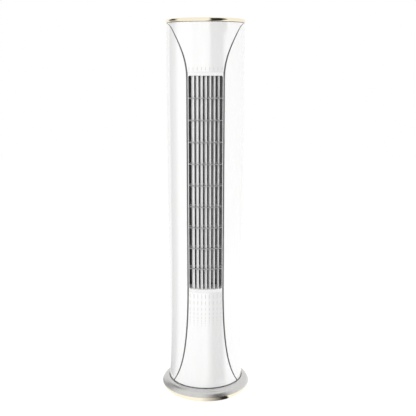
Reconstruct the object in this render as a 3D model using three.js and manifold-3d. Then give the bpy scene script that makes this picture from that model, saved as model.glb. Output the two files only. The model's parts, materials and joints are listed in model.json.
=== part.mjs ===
// Floor standing column air conditioner: a round cabinet on a round plinth, with a tall outlet at the
// front, swinging vertical vanes, tilting louvres, a long cross-flow fan, a folded coil and two filters
// that slide out of the right side. Millimetres, +Z up, front towards -Y, origin on the floor.
import * as THREE from 'three';
import { mergeVertices } from 'three/addons/utils/BufferGeometryUtils.js';
import Module from 'manifold-3d';

const wasm = await Module();
wasm.setup();

// ---- Driving dimensions -------------------------------------------------------------------------
const gap = 0.3; // between pieces that touch

const cabinet = { height: 1830, radius: 184, wall: 3, bottom: 64.5, step: 7 };
const plinth = { radius: 224, height: 61, rimHeight: 28.5, wall: 3, footRadius: 18, footCircle: 165 };
const topRing = { height: 17.5, wall: 7, bulge: 2, crown: 6 };

// The front panel is trumpet shaped at both ends. Half angles are in degrees round the cabinet.
const outline = {
  waist: 27.2,
  top: { start: 1560, length: 252, slow: 36.8, slowPower: 2.14, fast: 12, fastPower: 32 },
  bottom: { start: 660, length: 596, slow: 20.7, slowPower: 2.93, fast: 12.6, fastPower: 9.1 },
};
const trim = { halfAngle: 1.1, gapAngle: 0.12, proud: 0.3 };
const rearAngle = 112; // the side panels end and the rear panel begins here

const outlet = {
  bottom: 574.7, top: 1578.2, halfWidth: 78, border: 15.5, frameDepth: 6,
  sleeveWall: 3, sleeveBack: -95, ribs: 9, ribThickness: 2, ribClearance: 1.5,
};
// The vanes rest turned by yaw, and each a little less than its neighbour on the left, by fanOut a mm.
const vane = {
  count: 7, pitch: 19.5, chord: 28, thickness: 4.2, tipRadius: 178, yaw: 24, fanOut: 0.1, notch: 1.4,
  clearance: 1, crank: 12, crankYaw: 18, pin: 2, pinTop: 1590,
};
const louvre = { count: 9, y: -118, chord: 30, thickness: 4, crank: 12, pin: 2, pinEnd: 89 };

const fan = {
  y: -28, radius: 63, hub: 47, blades: 12, bladeThickness: 1.8, discs: 4, discThickness: 3,
  bottom: 572, top: 1584, shaft: 4,
};
const motor = { radius: 54, bottom: 474, top: 542 };
const lowerDeck = 548;
const upperDeck = 1625;
const deckThickness = 4;

const coil = { bottom: 556, top: 1598, thickness: 26, halfBack: 85, back: 98, halfFront: 150, front: -5 };
const filter = { y: 112, thickness: 6, bottom: 650, height: 440, spacing: 452, halfWidth: 128, slot: 4.2 };
const intake = { from: 136, to: 224, bottom: 640, top: 1560, columns: 9, rows: 4, bar: 6, barShare: 0.28 };

// ---- Small helpers ------------------------------------------------------------------------------
const radians = (degrees) => (degrees * Math.PI) / 180;
const polar = (radius, angle) => [radius * Math.sin(radians(angle)), -radius * Math.cos(radians(angle))];
const range = (count) => Array.from({ length: count }, (_, index) => index);
const mix = (low, high, share) => low + (high - low) * share;

// A closed solid from any closed geometry, with its faces turned outwards.
function solid(geometry) {
  const bare = new THREE.BufferGeometry();
  bare.setAttribute('position', geometry.getAttribute('position'));
  if (geometry.index) bare.setIndex(geometry.index);
  const merged = mergeVertices(bare, 1e-4);
  const points = merged.getAttribute('position').array;
  const faces = [];
  let volume = 0;
  for (let i = 0; i < merged.index.count; i += 3) {
    const [a, b, c] = [0, 1, 2].map((k) => merged.index.getX(i + k));
    if (a === b || b === c || c === a) continue;
    faces.push(a, b, c);
    const [p, q, r] = [a, b, c].map((k) => new THREE.Vector3().fromArray(points, 3 * k));
    volume += p.dot(q.cross(r));
  }
  if (volume < 0) faces.reverse();
  const mesh = new wasm.Mesh({
    numProp: 3, vertProperties: new Float32Array(points), triVerts: new Uint32Array(faces),
  });
  return new wasm.Manifold(mesh);
}

const join = (first, ...rest) => rest.reduce((whole, piece) => whole.add(piece), first);
const cut = (first, ...rest) => rest.reduce((whole, piece) => whole.subtract(piece), first);

function box(x0, x1, y0, y1, z0, z1) {
  const geometry = new THREE.BoxGeometry(x1 - x0, y1 - y0, z1 - z0);
  return solid(geometry.translate((x0 + x1) / 2, (y0 + y1) / 2, (z0 + z1) / 2));
}

// A plan outline, as [x, y] points, raised from z0 to z1. Holes are more outlines.
function raised(points, z0, z1, ...holes) {
  const shape = new THREE.Shape(points.map(([x, y]) => new THREE.Vector2(x, y)));
  shape.holes = holes.map((hole) => new THREE.Path(hole.map(([x, y]) => new THREE.Vector2(x, y))));
  const geometry = new THREE.ExtrudeGeometry(shape, { depth: z1 - z0, bevelEnabled: false });
  return solid(geometry.translate(0, 0, z0));
}

// A rod along x, y or z through [x, y, z], from one place on its axis to another.
function rod(axis, radius, [x, y, z], from, to, sides = 16) {
  const geometry = new THREE.CylinderGeometry(radius, radius, to - from, sides);
  geometry.translate(0, (from + to) / 2, 0);
  if (axis === 'x') geometry.rotateZ(-Math.PI / 2).translate(0, y, z);
  if (axis === 'y') geometry.translate(x, 0, z);
  if (axis === 'z') geometry.rotateX(Math.PI / 2).translate(x, y, 0);
  return solid(geometry);
}

// A profile of [radius, z] points turned about the cabinet's axis, or about [x, y].
function turned(profile, segments = 36, [x, y] = [0, 0]) {
  const onAxis = profile[0][0] === 0 && profile.at(-1)[0] === 0;
  const loop = onAxis ? profile : [...profile, profile[0]];
  const geometry = new THREE.LatheGeometry(loop.map(([r, z]) => new THREE.Vector2(r, z)), segments);
  return solid(geometry.rotateX(Math.PI / 2).translate(x, y, 0));
}

// A curved wall between two radii. Each row gives its height and the angles where it starts and ends.
function curvedWall(inner, outer, rows, columns) {
  const points = [];
  const faces = [];
  const stride = 2 * (columns + 1);
  for (const { z, from, to } of rows) {
    for (const radius of [inner, outer]) {
      for (const column of range(columns + 1)) {
        points.push(...polar(radius, mix(from, to, column / columns)), z);
      }
    }
  }
  const quad = (a, b, c, d) => faces.push(a, b, c, a, c, d);
  for (const row of range(rows.length - 1)) {
    const low = row * stride;
    const high = low + stride;
    for (const k of range(columns)) {
      const m = k + columns + 1;
      quad(low + k + 1, low + k, high + k, high + k + 1);
      quad(low + m, low + m + 1, high + m + 1, high + m);
    }
    quad(low, low + columns + 1, high + columns + 1, high);
    quad(low + 2 * columns + 1, low + columns, high + columns, high + 2 * columns + 1);
  }
  const last = (rows.length - 1) * stride;
  for (const k of range(columns)) {
    const m = k + columns + 1;
    quad(k, k + 1, m + 1, m);
    quad(last + k + 1, last + k, last + m, last + m + 1);
  }
  const geometry = new THREE.BufferGeometry();
  geometry.setAttribute('position', new THREE.Float32BufferAttribute(points, 3));
  geometry.setIndex(faces);
  return solid(geometry);
}

// A piece of the cabinet's skin, straight up from z0 to z1.
function skin(inner, outer, z0, z1, from, to) {
  const columns = Math.max(1, Math.round((to - from) / cabinet.step));
  return curvedWall(inner, outer, [{ z: z0, from, to }, { z: z1, from, to }], columns);
}

// A strip of even thickness along an open plan line.
function ribbon(line, thickness, z0, z1) {
  const along = line.map((_, i) => {
    const [before, after] = [line[Math.max(i - 1, 0)], line[Math.min(i + 1, line.length - 1)]];
    return new THREE.Vector2(after[0] - before[0], after[1] - before[1]).normalize();
  });
  const side = (sign) => line.map(([x, y], i) => [
    x - (sign * thickness * along[i].y) / 2,
    y + (sign * thickness * along[i].x) / 2,
  ]);
  return raised([...side(1), ...side(-1).reverse()], z0, z1);
}

// A round pipe along a smooth path through a few points.
function pipe(radius, path, sides = 7, steps = 11) {
  const section = new THREE.Shape(range(sides).map((k) => {
    const turn = (2 * Math.PI * k) / sides;
    return new THREE.Vector2(radius * Math.cos(turn), radius * Math.sin(turn));
  }));
  const extrudePath = new THREE.CatmullRomCurve3(path.map((point) => new THREE.Vector3(...point)));
  return solid(new THREE.ExtrudeGeometry(section, { steps, bevelEnabled: false, extrudePath }));
}

const circle = (radius, [x, y], sides = 16) => range(sides).map((k) => {
  const turn = (2 * Math.PI * k) / sides;
  return [x + radius * Math.cos(turn), y + radius * Math.sin(turn)];
});

// ---- Materials ----------------------------------------------------------------------------------
const finish = (color, roughness, metalness = 0) => (
  () => new THREE.MeshStandardMaterial({ color, roughness, metalness })
);
const glossWhite = finish(0xf4f4f2, 0.18);
const satinWhite = finish(0xe9e9e7, 0.4);
const trimGrey = finish(0x8a8a8a, 0.3, 0.4);
const vaneSilver = finish(0xc4c5c6, 0.35, 0.2);
const brushedSilver = finish(0xc0c0be, 0.3, 1);
const polishedGold = finish(0xe3c98d, 0.08, 1);
const darkPlastic = finish(0x2e3032, 0.55);
const greyPlastic = finish(0x77797b, 0.5);
const zincSteel = finish(0xa9adb0, 0.4, 0.9);
const aluminium = finish(0xc9ccce, 0.35, 1);
const copper = finish(0xb5683c, 0.3, 1);
const brass = finish(0xc2a04e, 0.3, 1);
const rubber = finish(0x1d1d1d, 0.85);
const circuitGreen = finish(0x1f5a3a, 0.5);
const filterMesh = finish(0x50585e, 0.8);

const airConditioner = new THREE.Group();

// A nested group for one assembly, with its origin at [x, y, z].
function assembly(at = [0, 0, 0]) {
  const group = new THREE.Group();
  group.position.set(...at);
  airConditioner.add(group);
  return group;
}

// One named mesh. Its shape is modelled about its own origin, then turned about z and placed.
function addPart(group, name, shape, material, at = [0, 0, 0], turn = 0) {
  const { vertProperties, triVerts } = shape.getMesh();
  const geometry = new THREE.BufferGeometry();
  geometry.setAttribute('position', new THREE.BufferAttribute(new Float32Array(vertProperties), 3));
  geometry.setIndex(new THREE.BufferAttribute(new Uint32Array(triVerts), 1));
  geometry.computeVertexNormals();
  const mesh = new THREE.Mesh(geometry, material());
  mesh.name = name;
  mesh.position.set(...at);
  mesh.rotation.z = radians(turn);
  group.add(mesh);
}

// ---- Plinth: rubber feet, steel base plate, polished rim and brushed ring -------------------------
const basePlate = { bottom: 6, top: 10, radius: 190, ridgeInner: 174, shoulder: 58, tongue: 78 };
const rimFoot = { bottom: 2, radius: 198 };

// Points of the brushed ring's elliptic section, from one angle above the level to another.
function ringArc(inset, low, high, count) {
  const centreHeight = 14;
  const reach = plinth.radius - cabinet.radius - inset;
  const rise = plinth.height - centreHeight - inset;
  return range(count).map((k) => {
    const turn = radians(mix(low, high, k / (count - 1)));
    return [cabinet.radius + reach * Math.cos(turn), centreHeight + rise * Math.sin(turn)];
  });
}
const ringFoot = ringArc(0, 18.5, 85.5, 2)[0][0];

function buildPlinth() {
  // The plate's ridge carries the skin. Over its shoulder it steps in behind the skin's lower edge,
  // which leaves a shadow gap round the cabinet above the brushed ring.
  const plinthGroup = assembly();
  const { bottom, top, radius, ridgeInner, shoulder, tongue } = basePlate;
  const plate = turned([
    [0, bottom], [radius, bottom], [radius, top], [cabinet.radius, top], [cabinet.radius, shoulder],
    [inside - 0.8, shoulder], [inside - 0.8, tongue], [ridgeInner, tongue], [ridgeInner, top], [0, top],
  ]);
  addPart(plinthGroup, 'base_plate', plate, zincSteel);

  const footTop = bottom - gap;
  const foot = turned([
    [0, 0], [plinth.footRadius - 2, 0], [plinth.footRadius, 2], [plinth.footRadius, footTop], [0, footTop],
  ], 12);
  const corners = ['front_right', 'rear_right', 'rear_left', 'front_left'];
  corners.forEach((corner, index) => {
    const [x, y] = polar(plinth.footCircle, 45 + 90 * index);
    addPart(plinthGroup, `foot_${corner}`, foot, rubber, [x, y, 0]);
  });

  // The polished rim is a bowl's foot: it curves inwards from the ring above down to the floor.
  const ringInner = 208.3;
  const rimTop = plinth.rimHeight;
  const bowl = range(4).map((k) => {
    const turn = radians(mix(0, 75, k / 3));
    return [
      mix(rimFoot.radius, ringFoot - 1.2, Math.cos(turn)),
      mix(rimTop, rimFoot.bottom, Math.sin(turn) / Math.sin(radians(75))),
    ];
  }).reverse();
  const rim = turned([
    [radius + gap, rimFoot.bottom], ...bowl, [ringInner, rimTop], [radius + gap, top],
  ]);
  addPart(plinthGroup, 'base_rim', rim, polishedGold);

  // The brushed ring is a quarter of an ellipse in section, from the rim up to the cabinet's skin.
  const ringBottom = rimTop + gap;
  const ring = turned([
    [ringInner, ringBottom], ...ringArc(0, 18.5, 85.5, 5), [cabinet.radius + 3, plinth.height - 6],
    ...ringArc(plinth.wall, 76, 30, 2), [ringInner, ringBottom + plinth.wall],
  ]);
  addPart(plinthGroup, 'base_ring', ring, brushedSilver);
}

// ---- Cabinet skin -------------------------------------------------------------------------------
const inside = cabinet.radius - cabinet.wall;
const skinTop = cabinet.height - topRing.height - gap;
const frameBottom = outlet.bottom - outlet.border;
const frameTop = outlet.top + outlet.border;

// Half angle of the front panel at height z: straight at the waist, flaring at both ends.
function halfAngle(z) {
  const flare = ({ length, slow, slowPower, fast, fastPower }, distance) => {
    const share = Math.max(0, distance / length);
    return slow * share ** slowPower + fast * share ** fastPower;
  };
  const { waist, top, bottom } = outline;
  return waist + flare(top, z - top.start) + flare(bottom, bottom.start - z);
}

// Heights at which the outline bends, closer together where it flares fastest.
const outlineHeights = [
  ...range(9).map((k) => mix(cabinet.bottom - 4, outline.bottom.start, (k / 8) ** 1.9)),
  ...range(10).map((k) => mix(skinTop + 4, outline.top.start, (1 - k / 9) ** 1.6)),
];

// A wedge that holds everything in front of the outline, widened on both sides by an angle.
function outlineWedge(widen, from = -1, to = 1) {
  const rows = outlineHeights.map((z) => {
    const half = halfAngle(z) + widen;
    return { z, from: from * half, to: to * half };
  });
  return curvedWall(140, 270, rows, 4);
}

const skinGroup = assembly();

function buildFront() {
  const wedge = outlineWedge(-trim.halfAngle - trim.gapAngle);
  const lower = skin(inside, cabinet.radius, cabinet.bottom, frameBottom - gap, -70, 70);
  addPart(skinGroup, 'front_panel_lower', lower.intersect(wedge), glossWhite);
  const upper = skin(inside, cabinet.radius, frameTop + gap, skinTop, -70, 70);
  addPart(skinGroup, 'front_panel_upper', upper.intersect(wedge), glossWhite);
}

function buildSides() {
  const front = outlineWedge(trim.halfAngle + trim.gapAngle);
  const trimOuter = outlineWedge(trim.halfAngle);
  const trimInner = outlineWedge(-trim.halfAngle);
  for (const [name, sign] of [['right', 1], ['left', -1]]) {
    const span = (near, far) => (sign > 0 ? [near, far] : [-far, -near]);
    const panel = skin(inside, cabinet.radius, cabinet.bottom, skinTop, ...span(14, rearAngle));
    addPart(skinGroup, `side_panel_${name}`, panel.subtract(front), glossWhite);
    const strip = skin(inside, cabinet.radius + trim.proud, cabinet.bottom, skinTop,
      ...span(18, 84));
    addPart(skinGroup, `trim_strip_${name}`, strip.intersect(trimOuter).subtract(trimInner), trimGrey);
  }
}

// The rear panel has the intake opening, the filter slot, the pipe opening and the cord inlet.
const pipeOpening = { from: 200, to: 226, bottom: 230, top: 340 };
const cordInlet = { angle: 152, z: 150, radius: 9 };
const filterSlot = { bottom: filter.bottom - 3, top: filter.bottom + filter.spacing + filter.height + 3 };

function radialRod(radius, angle, z, from, to, sides = 10) {
  const geometry = new THREE.CylinderGeometry(radius, radius, to - from, sides);
  geometry.translate(0, -(from + to) / 2, 0).rotateZ(radians(angle)).translate(0, 0, z);
  return solid(geometry);
}

function buildRear() {
  const edge = rearAngle + 0.1;
  const panel = skin(inside, cabinet.radius, cabinet.bottom, skinTop, edge, 360 - edge);
  const middle = filter.y + filter.thickness / 2;
  const slot = box(100, 200, middle - filter.slot, middle + filter.slot, filterSlot.bottom, filterSlot.top);
  const opening = (z0, z1, from, to) => skin(170, 200, z0, z1, from, to);
  const rear = cut(
    panel, slot,
    opening(intake.bottom, intake.top, intake.from, intake.to),
    opening(pipeOpening.bottom, pipeOpening.top, pipeOpening.from, pipeOpening.to),
    radialRod(cordInlet.radius, cordInlet.angle, cordInlet.z, 170, 200),
  );
  addPart(skinGroup, 'rear_panel', rear, glossWhite);

  const cover = skin(inside, cabinet.radius, pipeOpening.bottom + gap, pipeOpening.top - gap,
    pipeOpening.from + 0.15, pipeOpening.to - 0.15);
  addPart(skinGroup, 'pipe_cover', cover, satinWhite);

  const { angle, z, radius } = cordInlet;
  const grommet = cut(
    join(
      radialRod(radius - gap, angle, z, inside - 5, cabinet.radius + 2),
      radialRod(radius + 3, angle, z, cabinet.radius + gap, cabinet.radius + 3),
      radialRod(radius + 3, angle, z, inside - 6, inside - 0.9),
    ),
    radialRod(4.5, angle, z, inside - 20, cabinet.radius + 20),
  );
  addPart(skinGroup, 'cord_grommet', grommet, rubber);
}

function buildIntakeGrille() {
  // A flat of the curved grille holds one column of windows, and its bars stand where two flats meet.
  const edge = 0.15;
  const [start, end] = [intake.from + edge, intake.to - edge];
  const flat = (end - start) / intake.columns;
  const pitchHeight = (intake.top - intake.bottom - 2 * intake.bar) / intake.rows;
  const rows = [intake.bottom + gap, intake.top - gap].map((z) => ({ z, from: start, to: end }));
  let grille = curvedWall(inside, cabinet.radius - 0.5, rows, intake.columns);
  for (const row of range(intake.rows)) {
    const z = intake.bottom + 1.5 * intake.bar + row * pitchHeight;
    for (const column of range(intake.columns)) {
      const window = {
        from: start + (column + intake.barShare / 2) * flat,
        to: start + (column + 1 - intake.barShare / 2) * flat,
      };
      const sill = { z, ...window };
      grille = grille.subtract(curvedWall(170, 200, [sill, { ...sill, z: z + pitchHeight - intake.bar }], 1));
    }
  }
  addPart(skinGroup, 'intake_grille', grille, satinWhite);
}

function buildTop() {
  const ringInner = cabinet.radius - topRing.wall;
  const half = topRing.height / 2;
  const base = cabinet.height - topRing.height;
  const crownRadius = cabinet.radius + topRing.bulge - topRing.crown;
  const crown = range(4).map((k) => {
    const turn = radians(mix(-45, 90, k / 3));
    return [crownRadius + topRing.crown * Math.cos(turn), base + half + half * Math.sin(turn)];
  });
  const ring = turned([[ringInner, base], ...crown, [ringInner, cabinet.height]]);
  addPart(skinGroup, 'top_ring', ring, polishedGold);

  const rim = ringInner - gap;
  const cover = turned([
    [0, cabinet.height - 1], [rim - 30, cabinet.height - 4], [rim, cabinet.height - 9],
    [rim, skinTop - 8], [rim - 4, skinTop - 8], [rim - 4, cabinet.height - 12], [0, cabinet.height - 5],
  ]);
  addPart(skinGroup, 'top_cover', cover, satinWhite);
}

// ---- Air outlet: frame with ribs, vertical vanes and horizontal louvres ---------------------------
const ribPitch = (outlet.top - outlet.bottom) / (outlet.ribs + 1);
const ribHeights = range(outlet.ribs).map((k) => outlet.bottom + (k + 1) * ribPitch);

// The vanes' axes follow the cabinet's curve, so that every leading edge stands as far behind it.
const vaneReach = (vane.chord / 2) * Math.cos(radians(vane.yaw));
const vaneAxisY = (x) => vaneReach - Math.sqrt(vane.tipRadius ** 2 - x ** 2);
const vaneAxes = range(vane.count).map((index) => {
  const x = (index - (vane.count - 1) / 2) * vane.pitch;
  return [x, vaneAxisY(x)];
});
const vaneHole = vane.pin + 0.6;
const louvreHole = louvre.pin + 0.6;

const outletGroup = assembly();

function buildOutletFrame() {
  const { halfWidth, sleeveWall, sleeveBack, bottom, top } = outlet;
  const barrel = rod('z', inside - 0.6, [0, 0, 0], 500, 1700, 60);
  const half = outline.waist - trim.halfAngle - trim.gapAngle;
  const bezel = skin(cabinet.radius - outlet.frameDepth, cabinet.radius, frameBottom, frameTop, -half, half);
  const outer = halfWidth + sleeveWall;
  const block = box(-outer, outer, -200, sleeveBack, bottom - 4, top + 4).intersect(barrel);
  const bore = box(-halfWidth, halfWidth, -210, sleeveBack + 10, bottom, top);
  let frame = cut(join(bezel, block), bore);

  // The ribs cross in front of the vanes' axes, where every vane has a notch for them.
  const edgeX = halfWidth + 1;
  const rearLine = [-edgeX, ...vaneAxes.map(([x]) => x), edgeX].map((x) => (
    [x, vaneAxisY(x) - vane.notch - outlet.ribClearance]
  ));
  const reach = Math.asin(edgeX / cabinet.radius) * (180 / Math.PI);
  const frontLine = range(6).map((k) => polar(cabinet.radius - 0.6, mix(reach, -reach, k / 5)));
  const rib = raised([...rearLine, ...frontLine], 0, outlet.ribThickness);
  for (const z of ribHeights) frame = frame.add(rib.translate([0, 0, z - outlet.ribThickness / 2]));

  for (const [x, y] of vaneAxes) {
    frame = cut(frame, rod('z', vaneHole, [x, y, 0], bottom - 20, bottom + 2, 6));
    frame = cut(frame, rod('z', vaneHole, [x, y, 0], top - 2, top + 20, 6));
  }
  for (const z of ribHeights) {
    frame = cut(frame, rod('x', louvreHole, [0, louvre.y, z], -outer - 2, outer + 2, 6));
  }
  addPart(outletGroup, 'outlet_frame', frame, glossWhite);
}

// One vertical vane about the z axis at the origin, notched in front at every rib. Its crank points
// straight back, and its blade leans by an angle from that.
function vaneShape(pinTop, lean) {
  const { chord, thickness, notch, clearance, crank, pin } = vane;
  const half = chord / 2;
  const flank = thickness / 2;
  const section = [
    [0, -half], [flank, -notch], [flank, half * 0.3], [0, half], [-flank, half * 0.3], [-flank, -notch],
  ];
  let blade = raised(section, outlet.bottom + 0.8, outlet.top - 0.8);
  const room = outlet.ribThickness / 2 + clearance;
  for (const z of ribHeights) {
    blade = blade.subtract(box(-5, 5, -half - 1, -notch, z - room, z + room));
  }
  const armBottom = outlet.top + 4.6;
  const arm = raised(
    [[-3.6, -3.6], [3.6, -3.6], [3, crank + 3], [-3, crank + 3]], armBottom, armBottom + 2,
  );
  return join(
    blade.rotate([0, 0, lean]),
    rod('z', pin, [0, 0, 0], outlet.bottom - 5, outlet.bottom + 0.8, 6),
    rod('z', pin, [0, 0, 0], outlet.top - 0.8, pinTop, 6),
    arm,
    rod('z', pin, [0, crank, 0], armBottom + 2, vane.pinTop, 6),
  );
}

const vaneMotorPlate = frameTop + 1;

function buildVanes() {
  vaneAxes.forEach(([x, y], index) => {
    const driven = index === (vane.count - 1) / 2;
    const lean = vane.yaw - vane.fanOut * x - vane.crankYaw;
    const shape = vaneShape(driven ? vaneMotorPlate + 8 : outlet.top + 6, lean);
    addPart(outletGroup, `vane_${index + 1}`, shape, vaneSilver, [x, y, 0], vane.crankYaw);
  });

  // The link bar follows the arc of the vanes and has a slot for every crank pin.
  const swing = radians(vane.crankYaw);
  const [pinX, pinY] = [-vane.crank * Math.sin(swing), vane.crank * Math.cos(swing)];
  const pins = vaneAxes.map(([x, y]) => [x + pinX, y + pinY]);
  const line = pins.map(([x, y]) => [x, y - 0.7]);
  const ends = [[line[0][0] - 8, line[0][1] + 2], [line.at(-1)[0] + 8, line.at(-1)[1] + 2]];
  const z0 = outlet.top + 4.6 + 2 + 0.5;
  const bar = ribbon([ends[0], ...line, ends[1]], 12, z0, z0 + 3);
  const slots = pins.map(([x, y]) => box(x - 2.8, x + 2.8, y - 4.8, y + 3.3, z0 - 1, z0 + 4));
  addPart(outletGroup, 'vane_link', cut(bar, ...slots), greyPlastic);

  // The vane motor stands on its plate above the middle vane, whose top pin it holds.
  const legs = [-1, 1].map((sign) => {
    const x = sign * 1.5 * vane.pitch;
    return box(x - 3, x + 3, -7, -0.5, outlet.top + 4 + gap - vaneMotorPlate, 1);
  });
  const stepper = cut(
    join(box(-34, 34, -8, 8, 0, 2.5), rod('z', 14, [0, 0, 0], 1, 20, 12), ...legs),
    rod('z', vane.pin + 0.5, [0, 0, 0], -2, 9, 8),
  );
  const [, y] = vaneAxes[(vane.count - 1) / 2];
  addPart(outletGroup, 'vane_motor', stepper, greyPlastic, [0, y, vaneMotorPlate]);
}

// One horizontal louvre about the x axis at the origin, with its crank on the right.
function louvreShape(leftEnd) {
  const { chord, thickness, crank, pin, pinEnd } = louvre;
  const half = chord / 2;
  const width = outlet.halfWidth - 0.8;
  const flank = thickness / 2;
  const shoulder = half * 0.4;
  const section = [
    [-half, 0], [-shoulder, flank], [shoulder, flank], [half, 0], [shoulder, -flank], [-shoulder, -flank],
  ];
  const blade = raised(section, -width, width).rotate([90, 0, 0]).rotate([0, 0, 90]);
  const outer = outlet.halfWidth + outlet.sleeveWall;
  const arm = box(outer + 0.6, outer + 2.6, -3.5, crank + 3, -3, 3);
  return join(
    blade,
    rod('x', pin, [0, 0, 0], -leftEnd, -width, 6),
    rod('x', pin, [0, 0, 0], width, outer + 0.6, 6),
    arm,
    rod('x', pin, [0, crank, 0], outer + 2.6, pinEnd, 6),
  );
}

function buildLouvres() {
  const outer = outlet.halfWidth + outlet.sleeveWall;
  const middle = (louvre.count - 1) / 2;
  ribHeights.forEach((z, index) => {
    const leftEnd = index === middle ? outer + 9 : outer + 0.5;
    addPart(outletGroup, `louvre_${index + 1}`, louvreShape(leftEnd), vaneSilver, [0, louvre.y, z]);
  });

  const x0 = outer + 2.6 + 0.5;
  const y = louvre.y + louvre.crank;
  const z0 = ribHeights[0] - 12;
  const z1 = ribHeights.at(-1) + 12;
  const slots = ribHeights.map((z) => box(x0 - 1, x0 + 4, y - 3.8, y + 2.8, z - 2.6, z + 2.6));
  const link = cut(box(x0, x0 + 3, y - 5.5, y + 5.5, z0, z1), ...slots);
  addPart(outletGroup, 'louvre_link', link, greyPlastic);

  // The louvre motor lies against the sleeve's left wall, round the middle louvre's pin.
  const stepper = cut(
    join(rod('x', 14, [0, 0, 0], -20, -gap, 12), box(-2.5, -gap, -6, 6, -22, 22)),
    rod('x', louvre.pin + 0.5, [0, 0, 0], -10, 5, 8),
  );
  addPart(outletGroup, 'louvre_motor', stepper, greyPlastic, [-outer, louvre.y, ribHeights[middle]]);
}

// ---- Fan, its casing, motor and bearing -----------------------------------------------------------
const casingGroup = assembly();

function buildDecks() {
  const drain = [60, coil.back - coil.thickness / 2];
  const disc = (z) => turned([[0, z], [inside - 0.5, z], [inside - 0.5, z + deckThickness],
    [0, z + deckThickness]], 28);
  const through = (radius, [x, y], sides = 12) => rod('z', radius, [x, y, 0], 400, 1800, sides);
  const pipeHoles = [pipes.suction, pipes.liquid].map(({ radius, x, y }) => through(radius + 2, [x, y], 10));

  // The motor hangs from a cradle welded under the lower deck.
  const cradleTop = motor.top + 3;
  const cradle = box(-66, 66, fan.y - 60, fan.y + 60, motor.top + gap, cradleTop);
  const cheeks = [-70, 66].map((x) => box(x, x + 4, fan.y - 40, fan.y + 40, motor.top + gap, lowerDeck + 1));
  addPart(casingGroup, 'lower_deck', cut(
    join(disc(lowerDeck), cradle, ...cheeks), through(14, [0, fan.y]), ...pipeHoles, through(9.5, drain),
  ), zincSteel);
  addPart(casingGroup, 'upper_deck', cut(disc(upperDeck), through(15, [0, fan.y], 16)), zincSteel);

  // Drain pan: a trough that follows the folded coil, with its spout down through the deck.
  const panBottom = lowerDeck + deckThickness + gap;
  const spout = join(
    raised(coilOutline(8, -8), panBottom, coil.bottom + 18),
    rod('z', 9, [...drain, 0], lowerDeck - 50, panBottom + 1, 12),
  );
  const pan = cut(
    spout,
    raised(coilOutline(5, -5), coil.bottom - gap, coil.bottom + 30),
    ...[pipes.suction, pipes.liquid].map(({ radius, x, y }) => (
      rod('z', radius + 1, [x, y, 0], panBottom - 5, coil.bottom, 8)
    )),
    rod('z', 7, [...drain, 0], lowerDeck - 60, coil.bottom, 12),
  );
  addPart(casingGroup, 'drain_pan', pan, darkPlastic);
}

function buildFanCasing() {
  const z0 = lowerDeck + deckThickness + gap;
  const z1 = upperDeck - gap;
  const wall = 2.5;
  const join0 = [outlet.halfWidth + 1.5, outlet.sleeveBack + wall];
  const around = (radius, turn) => [
    radius * Math.cos(radians(turn)), fan.y + radius * Math.sin(radians(turn)),
  ];
  const spiral = range(9).map((k) => around(mix(70, 98, (k / 8) ** 1.6), mix(162, 216, k / 8)));
  const scroll = ribbon([...spiral, [-join0[0], join0[1]]], wall, z0, z1);
  const seal = ribbon([[-120, -32], spiral[0]], wall, z0, z1);
  addPart(casingGroup, 'fan_scroll', join(scroll, seal), darkPlastic);

  const tongue = ribbon([[join0[0], join0[1]], [68, -79], around(69, -32), around(69, -22), [120, -32]],
    wall, z0, z1);
  addPart(casingGroup, 'fan_tongue', tongue, darkPlastic);
}

function buildFan() {
  const fanGroup = assembly([0, fan.y, 0]);
  const { radius, hub, blades, bladeThickness, discs, discThickness, bottom, top, shaft } = fan;
  const centre = [0, 0];
  const disc = (z, bore, sides) => raised(circle(radius - 0.5, centre, 20), z, z + discThickness,
    circle(bore, centre, sides));
  const heights = range(discs).map((k) => mix(bottom, top - discThickness, k / (discs - 1)));
  const isEnd = (k) => k === 0 || k === discs - 1;
  let rotor = join(...heights.map((z, k) => (isEnd(k) ? disc(z, shaft + gap, 10) : disc(z, hub + 1, 12))));

  // Forward curved blades: each is a bent strip from the hub circle out to the rim.
  const bend = [[hub, 0], [hub + 8, 4], [radius, 14]];
  const half = bladeThickness / 2;
  for (const k of range(blades)) {
    const place = ([r, lead], offset) => {
      const angle = radians((360 * k) / blades + lead) + offset / r;
      return [r * Math.cos(angle), r * Math.sin(angle)];
    };
    const section = [
      ...bend.map((point) => place(point, -half)),
      ...bend.map((point) => place(point, half)).reverse(),
    ];
    rotor = rotor.add(raised(section, bottom + 1, top - 1));
  }
  addPart(fanGroup, 'fan_rotor', rotor, darkPlastic);

  // Each shaft ends in a flange that is screwed to the rotor's end disc.
  const axle = (z0, z1, flangeBottom, flangeTop) => join(
    rod('z', shaft, [0, 0, 0], z0, z1, 10), rod('z', 12, [0, 0, 0], flangeBottom, flangeTop, 10),
  );
  addPart(fanGroup, 'fan_top_shaft', axle(top - 8, upperDeck + 8, top + gap, top + 10), zincSteel);
  addPart(fanGroup, 'motor_shaft', axle(motor.top - 20, bottom + 8, bottom - 10, bottom - gap), zincSteel);

  const bearing = turned([
    [shaft + 0.4, upperDeck - 3], [20, upperDeck - 3], [20, upperDeck - gap], [15 - gap, upperDeck - gap],
    [15 - gap, upperDeck + 7], [shaft + 0.4, upperDeck + 7],
  ], 16);
  addPart(fanGroup, 'fan_bearing', bearing, rubber);

  const shell = turned([
    [shaft + 1, motor.bottom], [motor.radius - 6, motor.bottom], [motor.radius, motor.bottom + 8],
    [motor.radius, motor.top - 8], [motor.radius - 6, motor.top], [shaft + 1, motor.top],
  ], 16);
  const ears = range(4).map((k) => {
    const [x, y] = polar(motor.radius + 4, 45 + 90 * k);
    return rod('z', 7, [x, y, 0], motor.top - 12, motor.top, 6);
  });
  addPart(fanGroup, 'fan_motor', join(shell, ...ears), greyPlastic);
}

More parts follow.
